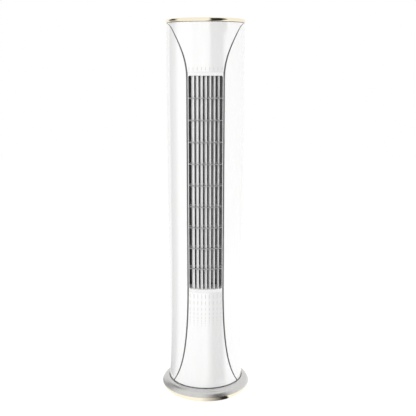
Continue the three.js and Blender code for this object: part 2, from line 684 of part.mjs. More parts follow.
// ---- Heat exchanger -------------------------------------------------------------------------------
const coilSide = new THREE.Vector2(coil.halfFront - coil.halfBack, coil.front - coil.back).normalize();
const pipes = {
  suction: { radius: 8, x: -137, y: -6 },
  liquid: { radius: 5, x: -119, y: 18 },
};

// Plan outline of the folded coil. A positive outer value grows it, a negative inner one too.
function coilOutline(outerGrow = 0, innerGrow = 0) {
  const side = (grow) => {
    const normal = [-coilSide.y, coilSide.x];
    const slope = coilSide.x / coilSide.y;
    const back = coil.back + grow;
    const end = [coil.halfFront + normal[0] * grow, coil.front + normal[1] * grow];
    const corner = [end[0] + (back - end[1]) * slope, back];
    return { end, corner };
  };
  const reach = Math.max(outerGrow, 0);
  const stretch = ([x, y]) => [x + coilSide.x * reach, y + coilSide.y * reach];
  const outer = side(outerGrow);
  const inner = side(innerGrow - coil.thickness);
  const right = [stretch(inner.end), stretch(outer.end), outer.corner];
  const mirror = (points) => points.map(([x, y]) => [-x, y]).reverse();
  return [inner.corner, ...right, ...mirror([inner.corner, ...right])];
}

function buildCoil() {
  const coilGroup = assembly();
  // End plates grip the fin pack, and hairpin bends stand above the upper plate.
  const pack = raised(coilOutline(), coil.bottom + 3, coil.top - 3);
  const plates = [coil.bottom, coil.top - 3].map((z) => raised(coilOutline(2, -2), z, z + 3));
  const grooves = range(3).map((k) => {
    const z = mix(coil.bottom, coil.top, (k + 1) / 4);
    return raised(coilOutline(10, -10), z - 1, z + 1);
  });
  const core = raised(coilOutline(-2, 2), coil.bottom + 1, coil.top - 1);
  const bends = [-1, 1].flatMap((sign) => range(2).map((k) => {
    const share = (k + 0.5) / 2;
    const x = sign * mix(coil.halfBack + 2, coil.halfFront - 20, share);
    const y = mix(coil.back - 22, coil.front + 2, share);
    return pipe(3.5, [
      [x - 6, y, coil.top - 2], [x - 5, y, coil.top + 6], [x, y, coil.top + 9], [x + 5, y, coil.top + 6],
      [x + 6, y, coil.top - 2],
    ], 5, 4);
  }));
  addPart(coilGroup, 'evaporator_coil', join(cut(pack, ...grooves), core, ...plates, ...bends), aluminium);

  const nut = ([x, y, z], radius) => rod('y', radius, [x, y, z], y - 14, y, 6);
  const suction = pipes.suction;
  const liquid = pipes.liquid;
  addPart(coilGroup, 'suction_pipe', join(
    pipe(suction.radius, [
      [suction.x, suction.y, coil.bottom - gap], [suction.x, suction.y, 430], [-142, 30, 330],
      [-138, 62, 300], [-108, 108, 286], [-88, 125, 285], [-86, 140, 285],
    ]),
    nut([-86, 148, 285], 13),
  ), copper);
  addPart(coilGroup, 'liquid_pipe', join(
    pipe(liquid.radius, [
      [liquid.x, liquid.y, coil.bottom - gap], [liquid.x, liquid.y, coil.bottom - 40],
      [liquid.x - 8, liquid.y, 450], [-140, 44, 350],
      [-120, 90, 318], [-98, 118, 315], [-96, 138, 315],
    ]),
    nut([-96, 146, 315], 9),
  ), copper);
}

// ---- Filters and their guide ----------------------------------------------------------------------
function buildFilters() {
  const { y, thickness, bottom, height, spacing, halfWidth } = filter;
  const filterGroup = assembly([0, y, 0]);
  const room = 0.7;
  const guideTop = bottom + spacing + height + 12;
  const back = thickness + 4;
  const rail = (z) => box(-halfWidth - 5, halfWidth + 4, -4, back, z - 6, z + 6);
  const seats = [bottom, bottom + spacing];
  const body = join(
    rail(bottom - 4), rail(bottom + spacing - 6), rail(guideTop - 6),
    box(-halfWidth - 5, -halfWidth + 3, -4, back, bottom - 10, guideTop),
    box(halfWidth - 4, halfWidth + 4, -4, -1, bottom - 10, guideTop),
  );
  const channels = seats.map((z) => box(
    -halfWidth - room, halfWidth + 20, -room, thickness + room, z - room, z + height + room,
  ));
  addPart(filterGroup, 'filter_guide', cut(body, ...channels), satinWhite);

  // Each filter is a tray of open windows. Its pull end follows the cabinet's skin.
  const skinRadius = cabinet.radius - 0.6;
  const barrel = [[0, -1], [skinRadius, -1], [skinRadius, height + 1], [0, height + 1]];
  const trimmer = turned(barrel, 72, [0, -y]);
  const slab = box(-halfWidth, 160, 0, thickness, 0, height).intersect(trimmer);
  const border = { left: 8, right: 6, ends: 8, between: 2, floor: 1.2 };
  const across = (share) => mix(border.left - halfWidth, halfWidth - border.right, share);
  const along = (share) => mix(border.ends, height - border.ends, share);
  const windows = range(3).flatMap((column) => range(3).map((row) => box(
    across(column / 3) + border.between, across((column + 1) / 3) - border.between,
    border.floor, thickness + 1,
    along(row / 3) + border.between, along((row + 1) / 3) - border.between,
  )));
  const tab = box(136, 152, 1, 5, height / 2 - 22, height / 2 + 22);
  const tray = join(cut(slab, ...windows), tab);
  ['filter_lower', 'filter_upper'].forEach((name, index) => {
    addPart(filterGroup, name, tray, filterMesh, [0, 0, seats[index]]);
  });
}

// ---- Chassis and electrical parts -----------------------------------------------------------------
function buildElectrics() {
  const electricsGroup = assembly();
  const frameY = [30, 56];
  const posts = [-1, 1].map((sign) => {
    const [x0, x1] = sign > 0 ? [98, 122] : [-122, -98];
    return cut(
      box(x0, x1, ...frameY, basePlate.top + gap, lowerDeck - gap),
      box(x0 + 2, x1 - 2, frameY[0] + 2, frameY[1] + 1, basePlate.top + 20, lowerDeck - 20),
    );
  });
  const bars = [90, 430].map((z) => box(-100, 100, frameY[0], frameY[0] + 3, z, z + 30));
  addPart(electricsGroup, 'chassis_frame', join(...posts, ...bars), zincSteel);

  const wall = 1.5;
  const [x, y0, y1, z0, z1] = [78, -62, frameY[0] - gap, 100, 450];
  addPart(electricsGroup, 'control_box', cut(
    box(-x, x, y0, y1, z0, z1), box(-x + wall, x - wall, y0 - 1, y1 - wall, z0 + wall, z1 - wall),
    rod('z', 10, [50, 0, 0], z0 - 5, z0 + 5, 10),
  ), zincSteel);

  const boardBack = y1 - wall - gap;
  const blocks = [
    [-50, -14, 34, 150, 200], [-20, 24, 22, 300, 340], [36, 60, 30, 330, 400], [10, 50, 18, 150, 190],
    [-56, -36, 26, 320, 390],
  ];
  addPart(electricsGroup, 'control_board', join(
    box(-66, 66, boardBack - 8, boardBack, 120, 430),
    ...blocks.map(([a, b, depth, low, high]) => box(a, b, boardBack - 7 - depth, boardBack - 7, low, high)),
  ), circuitGreen);

  addPart(electricsGroup, 'display_board', join(
    box(-34, 34, -171, -169, 1655, 1690),
    ...range(3).map((k) => box(-24 + 18 * k, -12 + 18 * k, -173.5, -170.5, 1664, 1680)),
  ), circuitGreen);
}

buildPlinth();
buildFront();
buildSides();
buildRear();
buildIntakeGrille();
buildTop();
buildOutletFrame();
buildVanes();
buildLouvres();
buildDecks();
buildFanCasing();
buildFan();
buildCoil();
buildFilters();
buildElectrics();

export default airConditioner;
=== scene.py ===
import json
import math

import bmesh
import bpy
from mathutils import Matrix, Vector


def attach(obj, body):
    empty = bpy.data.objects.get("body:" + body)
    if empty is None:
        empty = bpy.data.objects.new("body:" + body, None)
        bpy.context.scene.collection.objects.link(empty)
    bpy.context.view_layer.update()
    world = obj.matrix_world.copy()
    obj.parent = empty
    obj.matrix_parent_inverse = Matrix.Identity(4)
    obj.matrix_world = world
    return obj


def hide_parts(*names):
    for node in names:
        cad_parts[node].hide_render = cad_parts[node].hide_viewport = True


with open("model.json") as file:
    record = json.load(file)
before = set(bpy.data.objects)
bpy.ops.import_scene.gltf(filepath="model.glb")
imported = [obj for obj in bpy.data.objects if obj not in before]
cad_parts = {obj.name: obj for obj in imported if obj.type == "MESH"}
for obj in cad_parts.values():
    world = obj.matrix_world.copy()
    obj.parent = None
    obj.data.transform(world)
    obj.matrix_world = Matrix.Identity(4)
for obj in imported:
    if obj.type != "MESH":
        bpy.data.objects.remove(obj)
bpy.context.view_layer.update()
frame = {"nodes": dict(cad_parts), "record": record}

# A round column air conditioner. The pieces' sizes are millimetres and the studio's are metres. Angles are
# degrees round the column from the front, turning towards the right.


def polar(radius, angle, z=0.0):
    turn = math.radians(angle)
    return (radius * math.sin(turn), -radius * math.cos(turn), z)


def metres(*sizes):
    return tuple(size / 1000 for size in sizes)


def spread(start, end, steps):
    return [start + (end - start) * k / steps for k in range(steps + 1)]


def arc(cx, cz, across, up, first, last, steps):
    # points of an ellipse, from one angle to another above the level
    turns = [math.radians(angle) for angle in spread(first, last, steps)]
    return [(cx + across * math.cos(turn), cz + up * math.sin(turn)) for turn in turns]


def gridLines(marks, step):
    # every mark, and evenly spaced lines between them
    marks = sorted(set(marks))
    lines = []
    for low, high in zip(marks, marks[1:]):
        count = max(1, math.ceil((high - low) / step))
        lines += [low + (high - low) * k / count for k in range(count)]
    return lines + [marks[-1]]


def camelName(name):
    first, *rest = name.split("_")
    return first + "".join(word.capitalize() for word in rest)


def addObject(name, data):
    added = bpy.data.objects.new(name, data)
    bpy.context.collection.objects.link(added)
    return added


def newMesh(name, vertices, faces):
    mesh = bpy.data.meshes.new(name)
    mesh.from_pydata(vertices, [], faces)
    return mesh


merging = {"doubles": 2e-6, "slivers": 1e-7}  # metres


def newObject(name, vertices, faces):
    mesh = newMesh(name, [metres(*vertex) for vertex in vertices], faces)
    tool = bmesh.new()
    tool.from_mesh(mesh)
    bmesh.ops.remove_doubles(tool, verts=tool.verts, dist=merging["doubles"])
    bmesh.ops.dissolve_degenerate(tool, edges=tool.edges, dist=merging["slivers"])
    bmesh.ops.recalc_face_normals(tool, faces=tool.faces)
    tool.to_mesh(mesh)
    tool.free()
    return addObject(name, mesh)


def softenEdges(piece, width, segments=2, limit=40):
    piece.data.shade_smooth()
    bevel = piece.modifiers.new("softEdges", "BEVEL")
    bevel.width = width / 1000
    bevel.segments = segments
    bevel.limit_method = "ANGLE"
    bevel.angle_limit = math.radians(limit)
    bevel.harden_normals = True


def smooth(piece, angle=35):
    piece.data.shade_smooth()
    piece.data.set_sharp_from_angle(angle=math.radians(angle))


def paint(piece, finish):
    piece.data.materials.clear()
    piece.data.materials.append(finishes[finish])


def mount(piece, body, slot, *nodes, finish=None):
    # the finish is the slot's own unless another is named
    paint(piece, finish or slotFinish(slot))
    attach(piece, body)
    if nodes:
        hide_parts(*nodes)


def joinShapes(*shapes):
    vertices, faces = [], []
    for shapeVertices, shapeFaces in shapes:
        start = len(vertices)
        vertices += shapeVertices
        faces += [tuple(start + k for k in face) for face in shapeFaces]
    return vertices, faces


def movedShape(shape, offset=(0, 0, 0), turn=0.0):
    # turned about z, then moved
    c, s = math.cos(math.radians(turn)), math.sin(math.radians(turn))
    dx, dy, dz = offset
    vertices = [(x * c - y * s + dx, x * s + y * c + dy, z + dz) for x, y, z in shape[0]]
    return vertices, shape[1]


def loftLoops(loops, closed=False):
    # loops of equal length, joined one to the next, with caps unless closed on itself
    count = len(loops[0])
    vertices = [point for loop in loops for point in loop]
    faces = []
    for k in range(len(loops) if closed else len(loops) - 1):
        low, high = k * count, (k + 1) % len(loops) * count
        for i in range(count):
            j = (i + 1) % count
            faces.append((low + i, low + j, high + j, high + i))
    if not closed:
        faces.append(tuple(range(count)))
        faces.append(tuple(range(len(vertices) - 1, len(vertices) - count - 1, -1)))
    return vertices, faces


def turnedShape(profile, segments=160, centre=(0, 0)):
    # closed profile of (radius, z), turned about the column's axis or about a centre
    loops = []
    for k in range(segments):
        turn = 2 * math.pi * k / segments
        c, s = math.cos(turn), math.sin(turn)
        loops.append([(centre[0] + r * c, centre[1] + r * s, z) for r, z in profile])
    return loftLoops(loops, closed=True)


def rodShape(axis, radius, start, end, centre=(0, 0, 0), sides=20):
    # a round rod that lies along x or stands along z
    order = {"x": (2, 0, 1), "z": (0, 1, 2)}[axis]
    loops = []
    for along in (start, end):
        loop = []
        for k in range(sides):
            turn = 2 * math.pi * k / sides
            point = (radius * math.cos(turn), radius * math.sin(turn), along)
            loop.append(tuple(point[order[i]] + (0 if "xyz"[i] == axis else centre[i]) for i in range(3)))
        loops.append(loop)
    return loftLoops(loops)


def boxShape(x0, x1, y0, y1, z0, z1):
    return loftLoops([[(x0, y0, z), (x1, y0, z), (x1, y1, z), (x0, y1, z)] for z in (z0, z1)])


def curvedShell(rows, keep, outer, inner):
    # rows of (z, angles); each cell that keep(angle, z) accepts gets an outer and an inner face, and a
    # wall where the cell beside it is left out
    columns = len(rows[0][1])
    vertices, index, faces = [], {}, []

    def corner(side, i, j):
        if (side, i, j) not in index:
            index[(side, i, j)] = len(vertices)
            z, angles = rows[i]
            radius = outer(j / (columns - 1)) if side else inner
            vertices.append(polar(radius, angles[j], z))
        return index[(side, i, j)]

    def kept(i, j):
        if not (0 <= i < len(rows) - 1 and 0 <= j < columns - 1):
            return False
        return keep((rows[i][1][j] + rows[i][1][j + 1]) / 2, (rows[i][0] + rows[i + 1][0]) / 2)

    for i in range(len(rows) - 1):
        for j in range(columns - 1):
            if not kept(i, j):
                continue
            ring = [(i, j), (i, j + 1), (i + 1, j + 1), (i + 1, j)]
            faces.append(tuple(corner(1, *c) for c in ring))
            faces.append(tuple(corner(0, *c) for c in reversed(ring)))
            beside = [(i - 1, j), (i, j + 1), (i + 1, j), (i, j - 1)]
            for (a, b), (ni, nj) in zip(zip(ring, ring[1:] + ring[:1]), beside):
                if not kept(ni, nj):
                    faces.append((corner(1, *b), corner(1, *a), corner(0, *a), corner(0, *b)))
    return vertices, faces


def feed(tree, socket, value):
    # another node's output is linked, and a plain value is set
    if isinstance(value, bpy.types.NodeSocket):
        tree.links.new(value, socket)
    else:
        socket.default_value = value


def feedAll(tree, node, **values):
    for label, value in values.items():
        feed(tree, node.inputs[label.replace("_", " ")], value)


def addNode(tree, kind, **values):
    node = tree.nodes.new(kind)
    feedAll(tree, node, **values)
    return node


def mathNode(tree, operation, *values):
    node = tree.nodes.new("ShaderNodeMath")
    node.operation = operation
    for socket, value in zip(node.inputs, values):
        feed(tree, socket, value)
    return node.outputs[0]


def startTree(name, *inputs):
    tree = bpy.data.node_groups.new(name, "GeometryNodeTree")
    for label, kind in (("Geometry", "Geometry"), *inputs, ("Material", "Material")):
        tree.interface.new_socket(name=label, in_out="INPUT", socket_type="NodeSocket" + kind)
    tree.interface.new_socket(name="Geometry", in_out="OUTPUT", socket_type="NodeSocketGeometry")
    return tree, tree.nodes.new("NodeGroupInput").outputs, tree.nodes.new("NodeGroupOutput")


def finishTree(tree, given, result, **placing):
    # one copy on each point, made real and painted
    place = addNode(tree, "GeometryNodeInstanceOnPoints", **placing)
    realize = addNode(tree, "GeometryNodeRealizeInstances", Geometry=place.outputs["Instances"])
    coat = addNode(tree, "GeometryNodeSetMaterial", Geometry=realize.outputs["Geometry"],
                   Material=given["Material"])
    feedAll(tree, result, Geometry=coat.outputs["Geometry"])


def buildRowTree():
    # copies in a straight row
    tree, given, result = startTree("straightRow", ("Count", "Int"), ("Start", "Vector"), ("Step", "Vector"))
    line = addNode(tree, "GeometryNodeMeshLine", Count=given["Count"], Start_Location=given["Start"],
                   Offset=given["Step"])
    finishTree(tree, given, result, Points=line.outputs["Mesh"], Instance=given["Geometry"])
    return tree


def buildRingTree():
    # copies turned about an upright axis
    tree, given, result = startTree(
        "turnedRing", ("Count", "Int"), ("Centre", "Vector"), ("First Turn", "Float"), ("Turn Step", "Float"))
    line = addNode(tree, "GeometryNodeMeshLine", Count=given["Count"], Start_Location=given["Centre"],
                   Offset=(0, 0, 0))
    index = addNode(tree, "GeometryNodeInputIndex")
    turn = mathNode(tree, "MULTIPLY_ADD", index.outputs[0], given["Turn Step"], given["First Turn"])
    rotation = addNode(tree, "ShaderNodeCombineXYZ", Z=turn)
    finishTree(tree, given, result, Points=line.outputs["Mesh"], Instance=given["Geometry"],
               Rotation=rotation.outputs[0])
    return tree


def pointValue(tree, name):
    value = tree.nodes.new("GeometryNodeInputNamedAttribute")
    value.data_type = "FLOAT"
    feedAll(tree, value, Name=name)
    return value.outputs["Attribute"]


def buildSpotTree():
    # a small bead on every point of a mesh, stretched upright by the point's own length
    tree, given, result = startTree("lengthSpots", ("Width", "Float"), ("Depth", "Float"))
    bead = addNode(tree, "GeometryNodeMeshUVSphere", Segments=16, Rings=10, Radius=0.5)
    size = addNode(tree, "ShaderNodeCombineXYZ", X=given["Width"], Y=given["Depth"],
                   Z=pointValue(tree, "spotLength"))
    rotation = addNode(tree, "ShaderNodeCombineXYZ", Z=pointValue(tree, "spotTurn"))
    finishTree(tree, given, result, Points=given["Geometry"], Instance=bead.outputs["Mesh"],
               Rotation=rotation.outputs[0], Scale=size.outputs[0])
    return tree


def runTree(piece, tree, **values):
    # sets the named inputs, then keeps the result as a plain mesh
    modifier = piece.modifiers.new(tree.name, "NODES")
    modifier.node_group = tree
    for item in tree.interface.items_tree:
        if item.in_out == "INPUT" and item.name.replace(" ", "") in values:
            modifier[item.identifier] = values[item.name.replace(" ", "")]
    bpy.context.view_layer.update()
    graph = bpy.context.evaluated_depsgraph_get()
    mesh = bpy.data.meshes.new_from_object(piece.evaluated_get(graph), depsgraph=graph)
    piece.modifiers.clear()
    old = piece.data
    piece.data = mesh
    bpy.data.meshes.remove(old)


def mergePieces(first, *others):
    tool = bmesh.new()
    tool.from_mesh(first.data)
    for other in others:
        tool.from_mesh(other.data)
        bpy.data.objects.remove(other)
    tool.to_mesh(first.data)
    tool.free()


rowTree = buildRowTree()
ringTree = buildRingTree()
spotTree = buildSpotTree()


def startGroup(name, inputs, outputs):
    group = bpy.data.node_groups.new(name, "ShaderNodeTree")
    for label, value in inputs:
        socket = group.interface.new_socket(name=label, in_out="INPUT", socket_type="NodeSocketFloat")
        socket.default_value = value
    for label in outputs:
        group.interface.new_socket(name=label, in_out="OUTPUT", socket_type="NodeSocketFloat")
    given, result = group.nodes.new("NodeGroupInput").outputs, group.nodes.new("NodeGroupOutput")
    return group, given, result, group.nodes.new("ShaderNodeTexCoord").outputs


def noiseNode(tree, vector, scale, detail=2.0, roughness=0.5):
    noise = addNode(tree, "ShaderNodeTexNoise", Vector=vector, Scale=scale, Detail=detail,
                    Roughness=roughness)
    return noise.outputs["Fac"]


def splitVector(tree, vector):
    return addNode(tree, "ShaderNodeSeparateXYZ", Vector=vector).outputs


def buildMouldedGroup():
    # slow waves of a moulded skin, its fine grain, and a faint cloudy mask
    group, given, result, place = startGroup(
        "mouldedSkin", [("Wave Scale", 9), ("Grain Scale", 900), ("Grain Share", 0.3)], ["Height", "Cloud"])
    wave = noiseNode(group, place["Object"], given["Wave Scale"], detail=1.0)
    grain = noiseNode(group, place["Object"], given["Grain Scale"])
    fine = mathNode(group, "MULTIPLY", grain, given["Grain Share"])
    feedAll(group, result, Height=mathNode(group, "ADD", wave, fine),
            Cloud=noiseNode(group, place["Object"], scale=3.5, detail=3.0))
    return group


def buildBrushedGroup(stretch=(3.0, 3.0, 0.06)):
    # scratches that run round the column, close together across it, and slow streaks along them
    group, given, result, place = startGroup(
        "brushedRound", [("Across", 1600), ("Along", 5)], ["Height", "Streak"])
    x, y, z = splitVector(group, place["Object"])
    reach = mathNode(group, "SQRT", mathNode(
        group, "ADD", mathNode(group, "MULTIPLY", x, x), mathNode(group, "MULTIPLY", y, y)))
    around = [mathNode(group, "MULTIPLY", mathNode(group, "DIVIDE", axis, reach), given["Along"])
              for axis in (x, y)]
    side = mathNode(group, "MULTIPLY", mathNode(group, "SUBTRACT", z, reach), given["Across"])
    joined = addNode(group, "ShaderNodeCombineXYZ", X=around[0], Y=around[1], Z=side).outputs[0]
    slow = group.nodes.new("ShaderNodeVectorMath")
    slow.operation = "MULTIPLY"
    for socket, value in zip(slow.inputs, (joined, stretch)):
        feed(group, socket, value)
    feedAll(group, result, Height=noiseNode(group, joined, scale=1.0, detail=3.0, roughness=0.6),
            Streak=noiseNode(group, slow.outputs[0], scale=1.0))
    return group


def buildWeaveGroup():
    # threads that cross at right angles in the x-z plane
    group, given, result, place = startGroup(
        "crossedThreads", [("Threads", 900), ("Hole Edge", 0.55)], ["Height", "Hole"])
    across, _, up = splitVector(group, place["Object"])
    waves = []
    for axis in (across, up):
        turn = mathNode(group, "SINE", mathNode(group, "MULTIPLY", axis, given["Threads"]))
        waves.append(mathNode(group, "ABSOLUTE", turn))
    low = mathNode(group, "MINIMUM", *waves)
    feedAll(group, result, Height=mathNode(group, "SUBTRACT", 1.0, low),
            Hole=mathNode(group, "GREATER_THAN", low, given["Hole Edge"]))
    return group


def buildWearGroup():
    # dust that settles on faces that look up, broken by a cloud
    group, given, result, place = startGroup("settledDust", [("Amount", 0.3), ("Cloud Scale", 14)], ["Dust"])
    up = mathNode(group, "MAXIMUM", splitVector(group, place["Normal"])[2], 0.0)
    cloud = noiseNode(group, place["Object"], given["Cloud Scale"], detail=4.0)
    cover = mathNode(group, "MULTIPLY", up, cloud)
    feedAll(group, result, Dust=mathNode(group, "MULTIPLY", cover, given["Amount"]))
    return group


mouldedGroup = buildMouldedGroup()
brushedGroup = buildBrushedGroup()
weaveGroup = buildWeaveGroup()
wearGroup = buildWearGroup()
print("node groups built")


def startMaterial(name, color, roughness, metallic=0.0, **sockets):
    material = bpy.data.materials.new(name)
    material.use_nodes = True
    tree = material.node_tree
    shader = tree.nodes["Principled BSDF"]
    feedAll(tree, shader, Base_Color=(*color, 1), Roughness=roughness, Metallic=metallic, **sockets)
    return material, tree, shader


def placeGroup(tree, group, **values):
    node = tree.nodes.new("ShaderNodeGroup")
    node.node_tree = group
    feedAll(tree, node, **values)
    return node.outputs


def addBump(tree, shader, height, strength, distance):
    bump = addNode(tree, "ShaderNodeBump", Height=height, Strength=strength, Distance=distance)
    feedAll(tree, shader, Normal=bump.outputs["Normal"])


def addTint(tree, shader, mask, low, high):
    mix = tree.nodes.new("ShaderNodeMix")
    mix.data_type = "RGBA"
    feedAll(tree, mix, Factor=mask, A=(*low, 1), B=(*high, 1))
    feedAll(tree, shader, Base_Color=mix.outputs["Result"])


def mapRange(tree, mask, low, high):
    return addNode(tree, "ShaderNodeMapRange", Value=mask, To_Min=low, To_Max=high).outputs["Result"]


def addRoughness(tree, shader, mask, roughness, low, high):
    feedAll(tree, shader, Roughness=mapRange(tree, mask, roughness * low, roughness * high))


def shade(color, factor):
    return tuple(c * factor for c in color)


def mouldedMaterial(name, color, roughness, bump=0.05, grain=0.3, change=0.03, waves=9, **sockets):
    material, tree, shader = startMaterial(name, color, roughness, **sockets)
    skin = placeGroup(tree, mouldedGroup, Wave_Scale=waves, Grain_Share=grain)
    addBump(tree, shader, skin["Height"], bump, distance=0.001)
    addTint(tree, shader, skin["Cloud"], shade(color, 1 - change), color)
    addRoughness(tree, shader, skin["Cloud"], roughness, low=0.85, high=1.2)
    return material


def dustyMetal(name, color, roughness, dust=0.3, bump=0.08, dustColor=(0.55, 0.53, 0.5)):
    material, tree, shader = startMaterial(name, color, roughness, metallic=1.0)
    skin = placeGroup(tree, mouldedGroup, Wave_Scale=40, Grain_Scale=600, Grain_Share=0.6)
    worn = placeGroup(tree, wearGroup, Amount=dust)
    addBump(tree, shader, skin["Height"], bump, distance=0.0006)
    addTint(tree, shader, worn["Dust"], color, dustColor)
    addRoughness(tree, shader, skin["Cloud"], roughness, low=0.8, high=1.35)
    return material


def brushedMaterial(name, color, roughness):
    material, tree, shader = startMaterial(name, color, roughness, metallic=1.0, Anisotropic=0.55)
    brushed = placeGroup(tree, brushedGroup)
    addBump(tree, shader, brushed["Height"], strength=0.22, distance=0.0004)
    addTint(tree, shader, brushed["Streak"], shade(color, 0.86), shade(color, 1.08))
    addRoughness(tree, shader, brushed["Height"], roughness, low=0.75, high=1.3)
    return material


def polishedMaterial(name, color, roughness):
    material, tree, shader = startMaterial(name, color, roughness, metallic=1.0)
    skin = placeGroup(tree, mouldedGroup, Wave_Scale=30, Grain_Share=0.15)
    addBump(tree, shader, skin["Height"], strength=0.03, distance=0.0006)
    addTint(tree, shader, skin["Cloud"], shade(color, 0.96), color)
    addRoughness(tree, shader, skin["Cloud"], roughness, low=0.7, high=1.6)
    return material


def netMaterial(name, color, roughness, hole=0.25):
    material, tree, shader = startMaterial(name, color, roughness)
    weave = placeGroup(tree, weaveGroup, Threads=1700)
    addBump(tree, shader, weave["Height"], strength=0.6, distance=0.0006)
    addTint(tree, shader, weave["Hole"], color, shade(color, hole))
    return material


def finMaterial(name, color, roughness, pitch=3400.0, gap=0.1, gapShade=0.22):
    # thin fins with painted shade in the gaps between them
    material, tree, shader = startMaterial(name, color, roughness, metallic=1.0)
    up = splitVector(tree, addNode(tree, "ShaderNodeTexCoord").outputs["Object"])[2]
    wave = mathNode(tree, "SINE", mathNode(tree, "MULTIPLY", up, pitch))
    addBump(tree, shader, wave, strength=0.7, distance=0.0008)
    addTint(tree, shader, mathNode(tree, "GREATER_THAN", wave, gap), color, shade(color, gapShade))
    return material


def boardMaterial(name, color, roughness, scale=90, trackWidth=0.22, trackColor=(0.35, 0.3, 0.12)):
    material, tree, shader = startMaterial(name, color, roughness)
    place = addNode(tree, "ShaderNodeTexCoord")
    cells = addNode(tree, "ShaderNodeTexVoronoi", Vector=place.outputs["Object"], Scale=scale)
    cells.distance = "MANHATTAN"
    track = mathNode(tree, "LESS_THAN", cells.outputs["Distance"], trackWidth)
    addTint(tree, shader, track, color, trackColor)
    addBump(tree, shader, track, strength=0.3, distance=0.0004)
    return material


# what each finish is made by, its color and roughness, and where it differs from its maker's own values
looks = {
    "glossWhite": (mouldedMaterial, (0.84, 0.84, 0.835), 0.14, {
        "bump": 0.025, "grain": 0.05, "change": 0.015, "waves": 5, "Coat_Weight": 1.0, "Coat_IOR": 2.2,
        "Coat_Roughness": 0.08}),
    "frameWhite": (mouldedMaterial, (0.8, 0.8, 0.795), 0.22, {"bump": 0.04, "grain": 0.1, "change": 0.02}),
    "satinWhite": (mouldedMaterial, (0.78, 0.78, 0.77), 0.42, {"bump": 0.12, "grain": 0.5}),
    "trimGrey": (mouldedMaterial, (0.1, 0.1, 0.1), 0.3, {"bump": 0.04, "grain": 0.1, "change": 0.05}),
    "vaneSilver": (mouldedMaterial, (0.8, 0.8, 0.8), 0.3, {"bump": 0.06, "grain": 0.2}),
    "dashGrey": (mouldedMaterial, (0.58, 0.58, 0.58), 0.35, {"grain": 0.2}),
    # painted shade: the outlet's cross ribs are as white as its frame, and this grey stands in for the shade
    # they lie in
    "ribGrey": (mouldedMaterial, (0.4, 0.4, 0.4), 0.35, {"bump": 0.06, "grain": 0.2}),
    "brushedSilver": (brushedMaterial, (0.67, 0.665, 0.65), 0.3, {}),
    "goldTrim": (polishedMaterial, (0.95, 0.865, 0.68), 0.06, {}),
    "greyPlastic": (mouldedMaterial, (0.34, 0.34, 0.35), 0.5, {"bump": 0.15, "grain": 0.6, "change": 0.08}),
    # painted light: the dark plastic inside the outlet is made lighter than it is, standing in for light that
    # reaches deep inside
    "darkPlastic": (mouldedMaterial, (0.42, 0.424, 0.43), 0.5, {"bump": 0.15, "grain": 0.6, "change": 0.2}),
    "motorCase": (mouldedMaterial, (0.16, 0.165, 0.17), 0.38, {"bump": 0.1, "grain": 0.8, "change": 0.1}),
    "zincSteel": (dustyMetal, (0.56, 0.58, 0.6), 0.38, {}),
    "copper": (dustyMetal, (0.75, 0.33, 0.18), 0.3, {"dust": 0.1}),
    "rubber": (mouldedMaterial, (0.02, 0.02, 0.02), 0.75, {"bump": 0.2, "grain": 0.9, "change": 0.3}),
    "filterNet": (netMaterial, (0.1, 0.11, 0.12), 0.7, {}),
    "coilFins": (finMaterial, (0.62, 0.64, 0.66), 0.35, {}),
    "circuitBoard": (boardMaterial, (0.02, 0.1, 0.045), 0.4, {}),
}
finishes = {name: maker(name, *plain, **own) for name, (maker, *plain, own) in looks.items()}


def slotFinish(slot):
    return {"fin_aluminium": "coilFins", "filter_mesh": "filterNet"}.get(slot, camelName(slot))


def paintFrameNodes():
    # every carried-over node gets the full finish of its slot
    for entry in frame["record"]["subparts"]:
        paint(frame["nodes"][entry["node"]], slotFinish(entry["material_slot"]))


paintFrameNodes()
print("materials made:", len(finishes))


cabinet = {
    "radius": 184.0, "wall": 3.0, "bottom": 64.5, "top": 1812.2, "rearAngle": 112.0, "gap": 0.3,
    "frontColumns": 48, "lowerStep": 14.0, "upperStep": 7.0, "sideColumns": 56, "sideStep": 9.0,
    "closeRows": 12, "closeStep": 4.0,
}
outline = {
    "waist": 27.2, "trim": 1.1, "joint": 0.12, "trimColumns": 6, "trimSink": 0.5, "trimCrown": 0.8,
    "topStart": 1560.0, "topLength": 252.0, "topFlare": (36.8, 2.14, 12.0, 32),
    "bottomStart": 660.0, "bottomLength": 596.0, "bottomFlare": (20.7, 2.93, 12.6, 9.1),
}
outlet = {
    "bottom": 574.7, "top": 1578.2, "half": 78.0, "border": 15.5, "depth": 6.0, "back": -95.0,
    "corner": 7.0, "outerCorner": 1.5, "sleeve": 3.0, "sleeveRoom": 1.0,
    "ribs": 9, "rib": 2.0, "ribGap": 1.5, "ribSink": 0.6, "ribChamfer": 0.5,
}


def halfAngle(z):
    # the front panel's outline: straight at the waist, flared at both ends
    def flare(share, terms):
        share = max(0.0, share)
        return terms[0] * share ** terms[1] + terms[2] * share ** terms[3]
    return (outline["waist"]
            + flare((z - outline["topStart"]) / outline["topLength"], outline["topFlare"])
            + flare((outline["bottomStart"] - z) / outline["bottomLength"], outline["bottomFlare"]))


def seam(sign, offset):
    # one side's seam, as an angle at each height, moved away from the front by the offset
    return lambda z: sign * (halfAngle(z) + offset)


def panelRows(z0, z1, fromAngle, toAngle, columns, step):
    # rows stand closer together near the top, where the outline turns fastest
    marks = [z for z in (z0, z1, outline["topStart"], outline["bottomStart"]) if z0 <= z <= z1]
    if z1 == cabinet["top"]:
        marks += [z1 - cabinet["closeStep"] * (k + 1) for k in range(cabinet["closeRows"])]
    return [(z, spread(fromAngle(z), toAngle(z), columns)) for z in gridLines(marks, step)]


def addSkin(node, rows, slot, keep=lambda angle, z: True, outer=None, edge=0.7):
    radius = cabinet["radius"]
    shell = curvedShell(rows, keep, outer or (lambda share: radius), radius - cabinet["wall"])
    piece = newObject(camelName(node), *shell)
    softenEdges(piece, edge)
    mount(piece, "cabinet", slot, node)


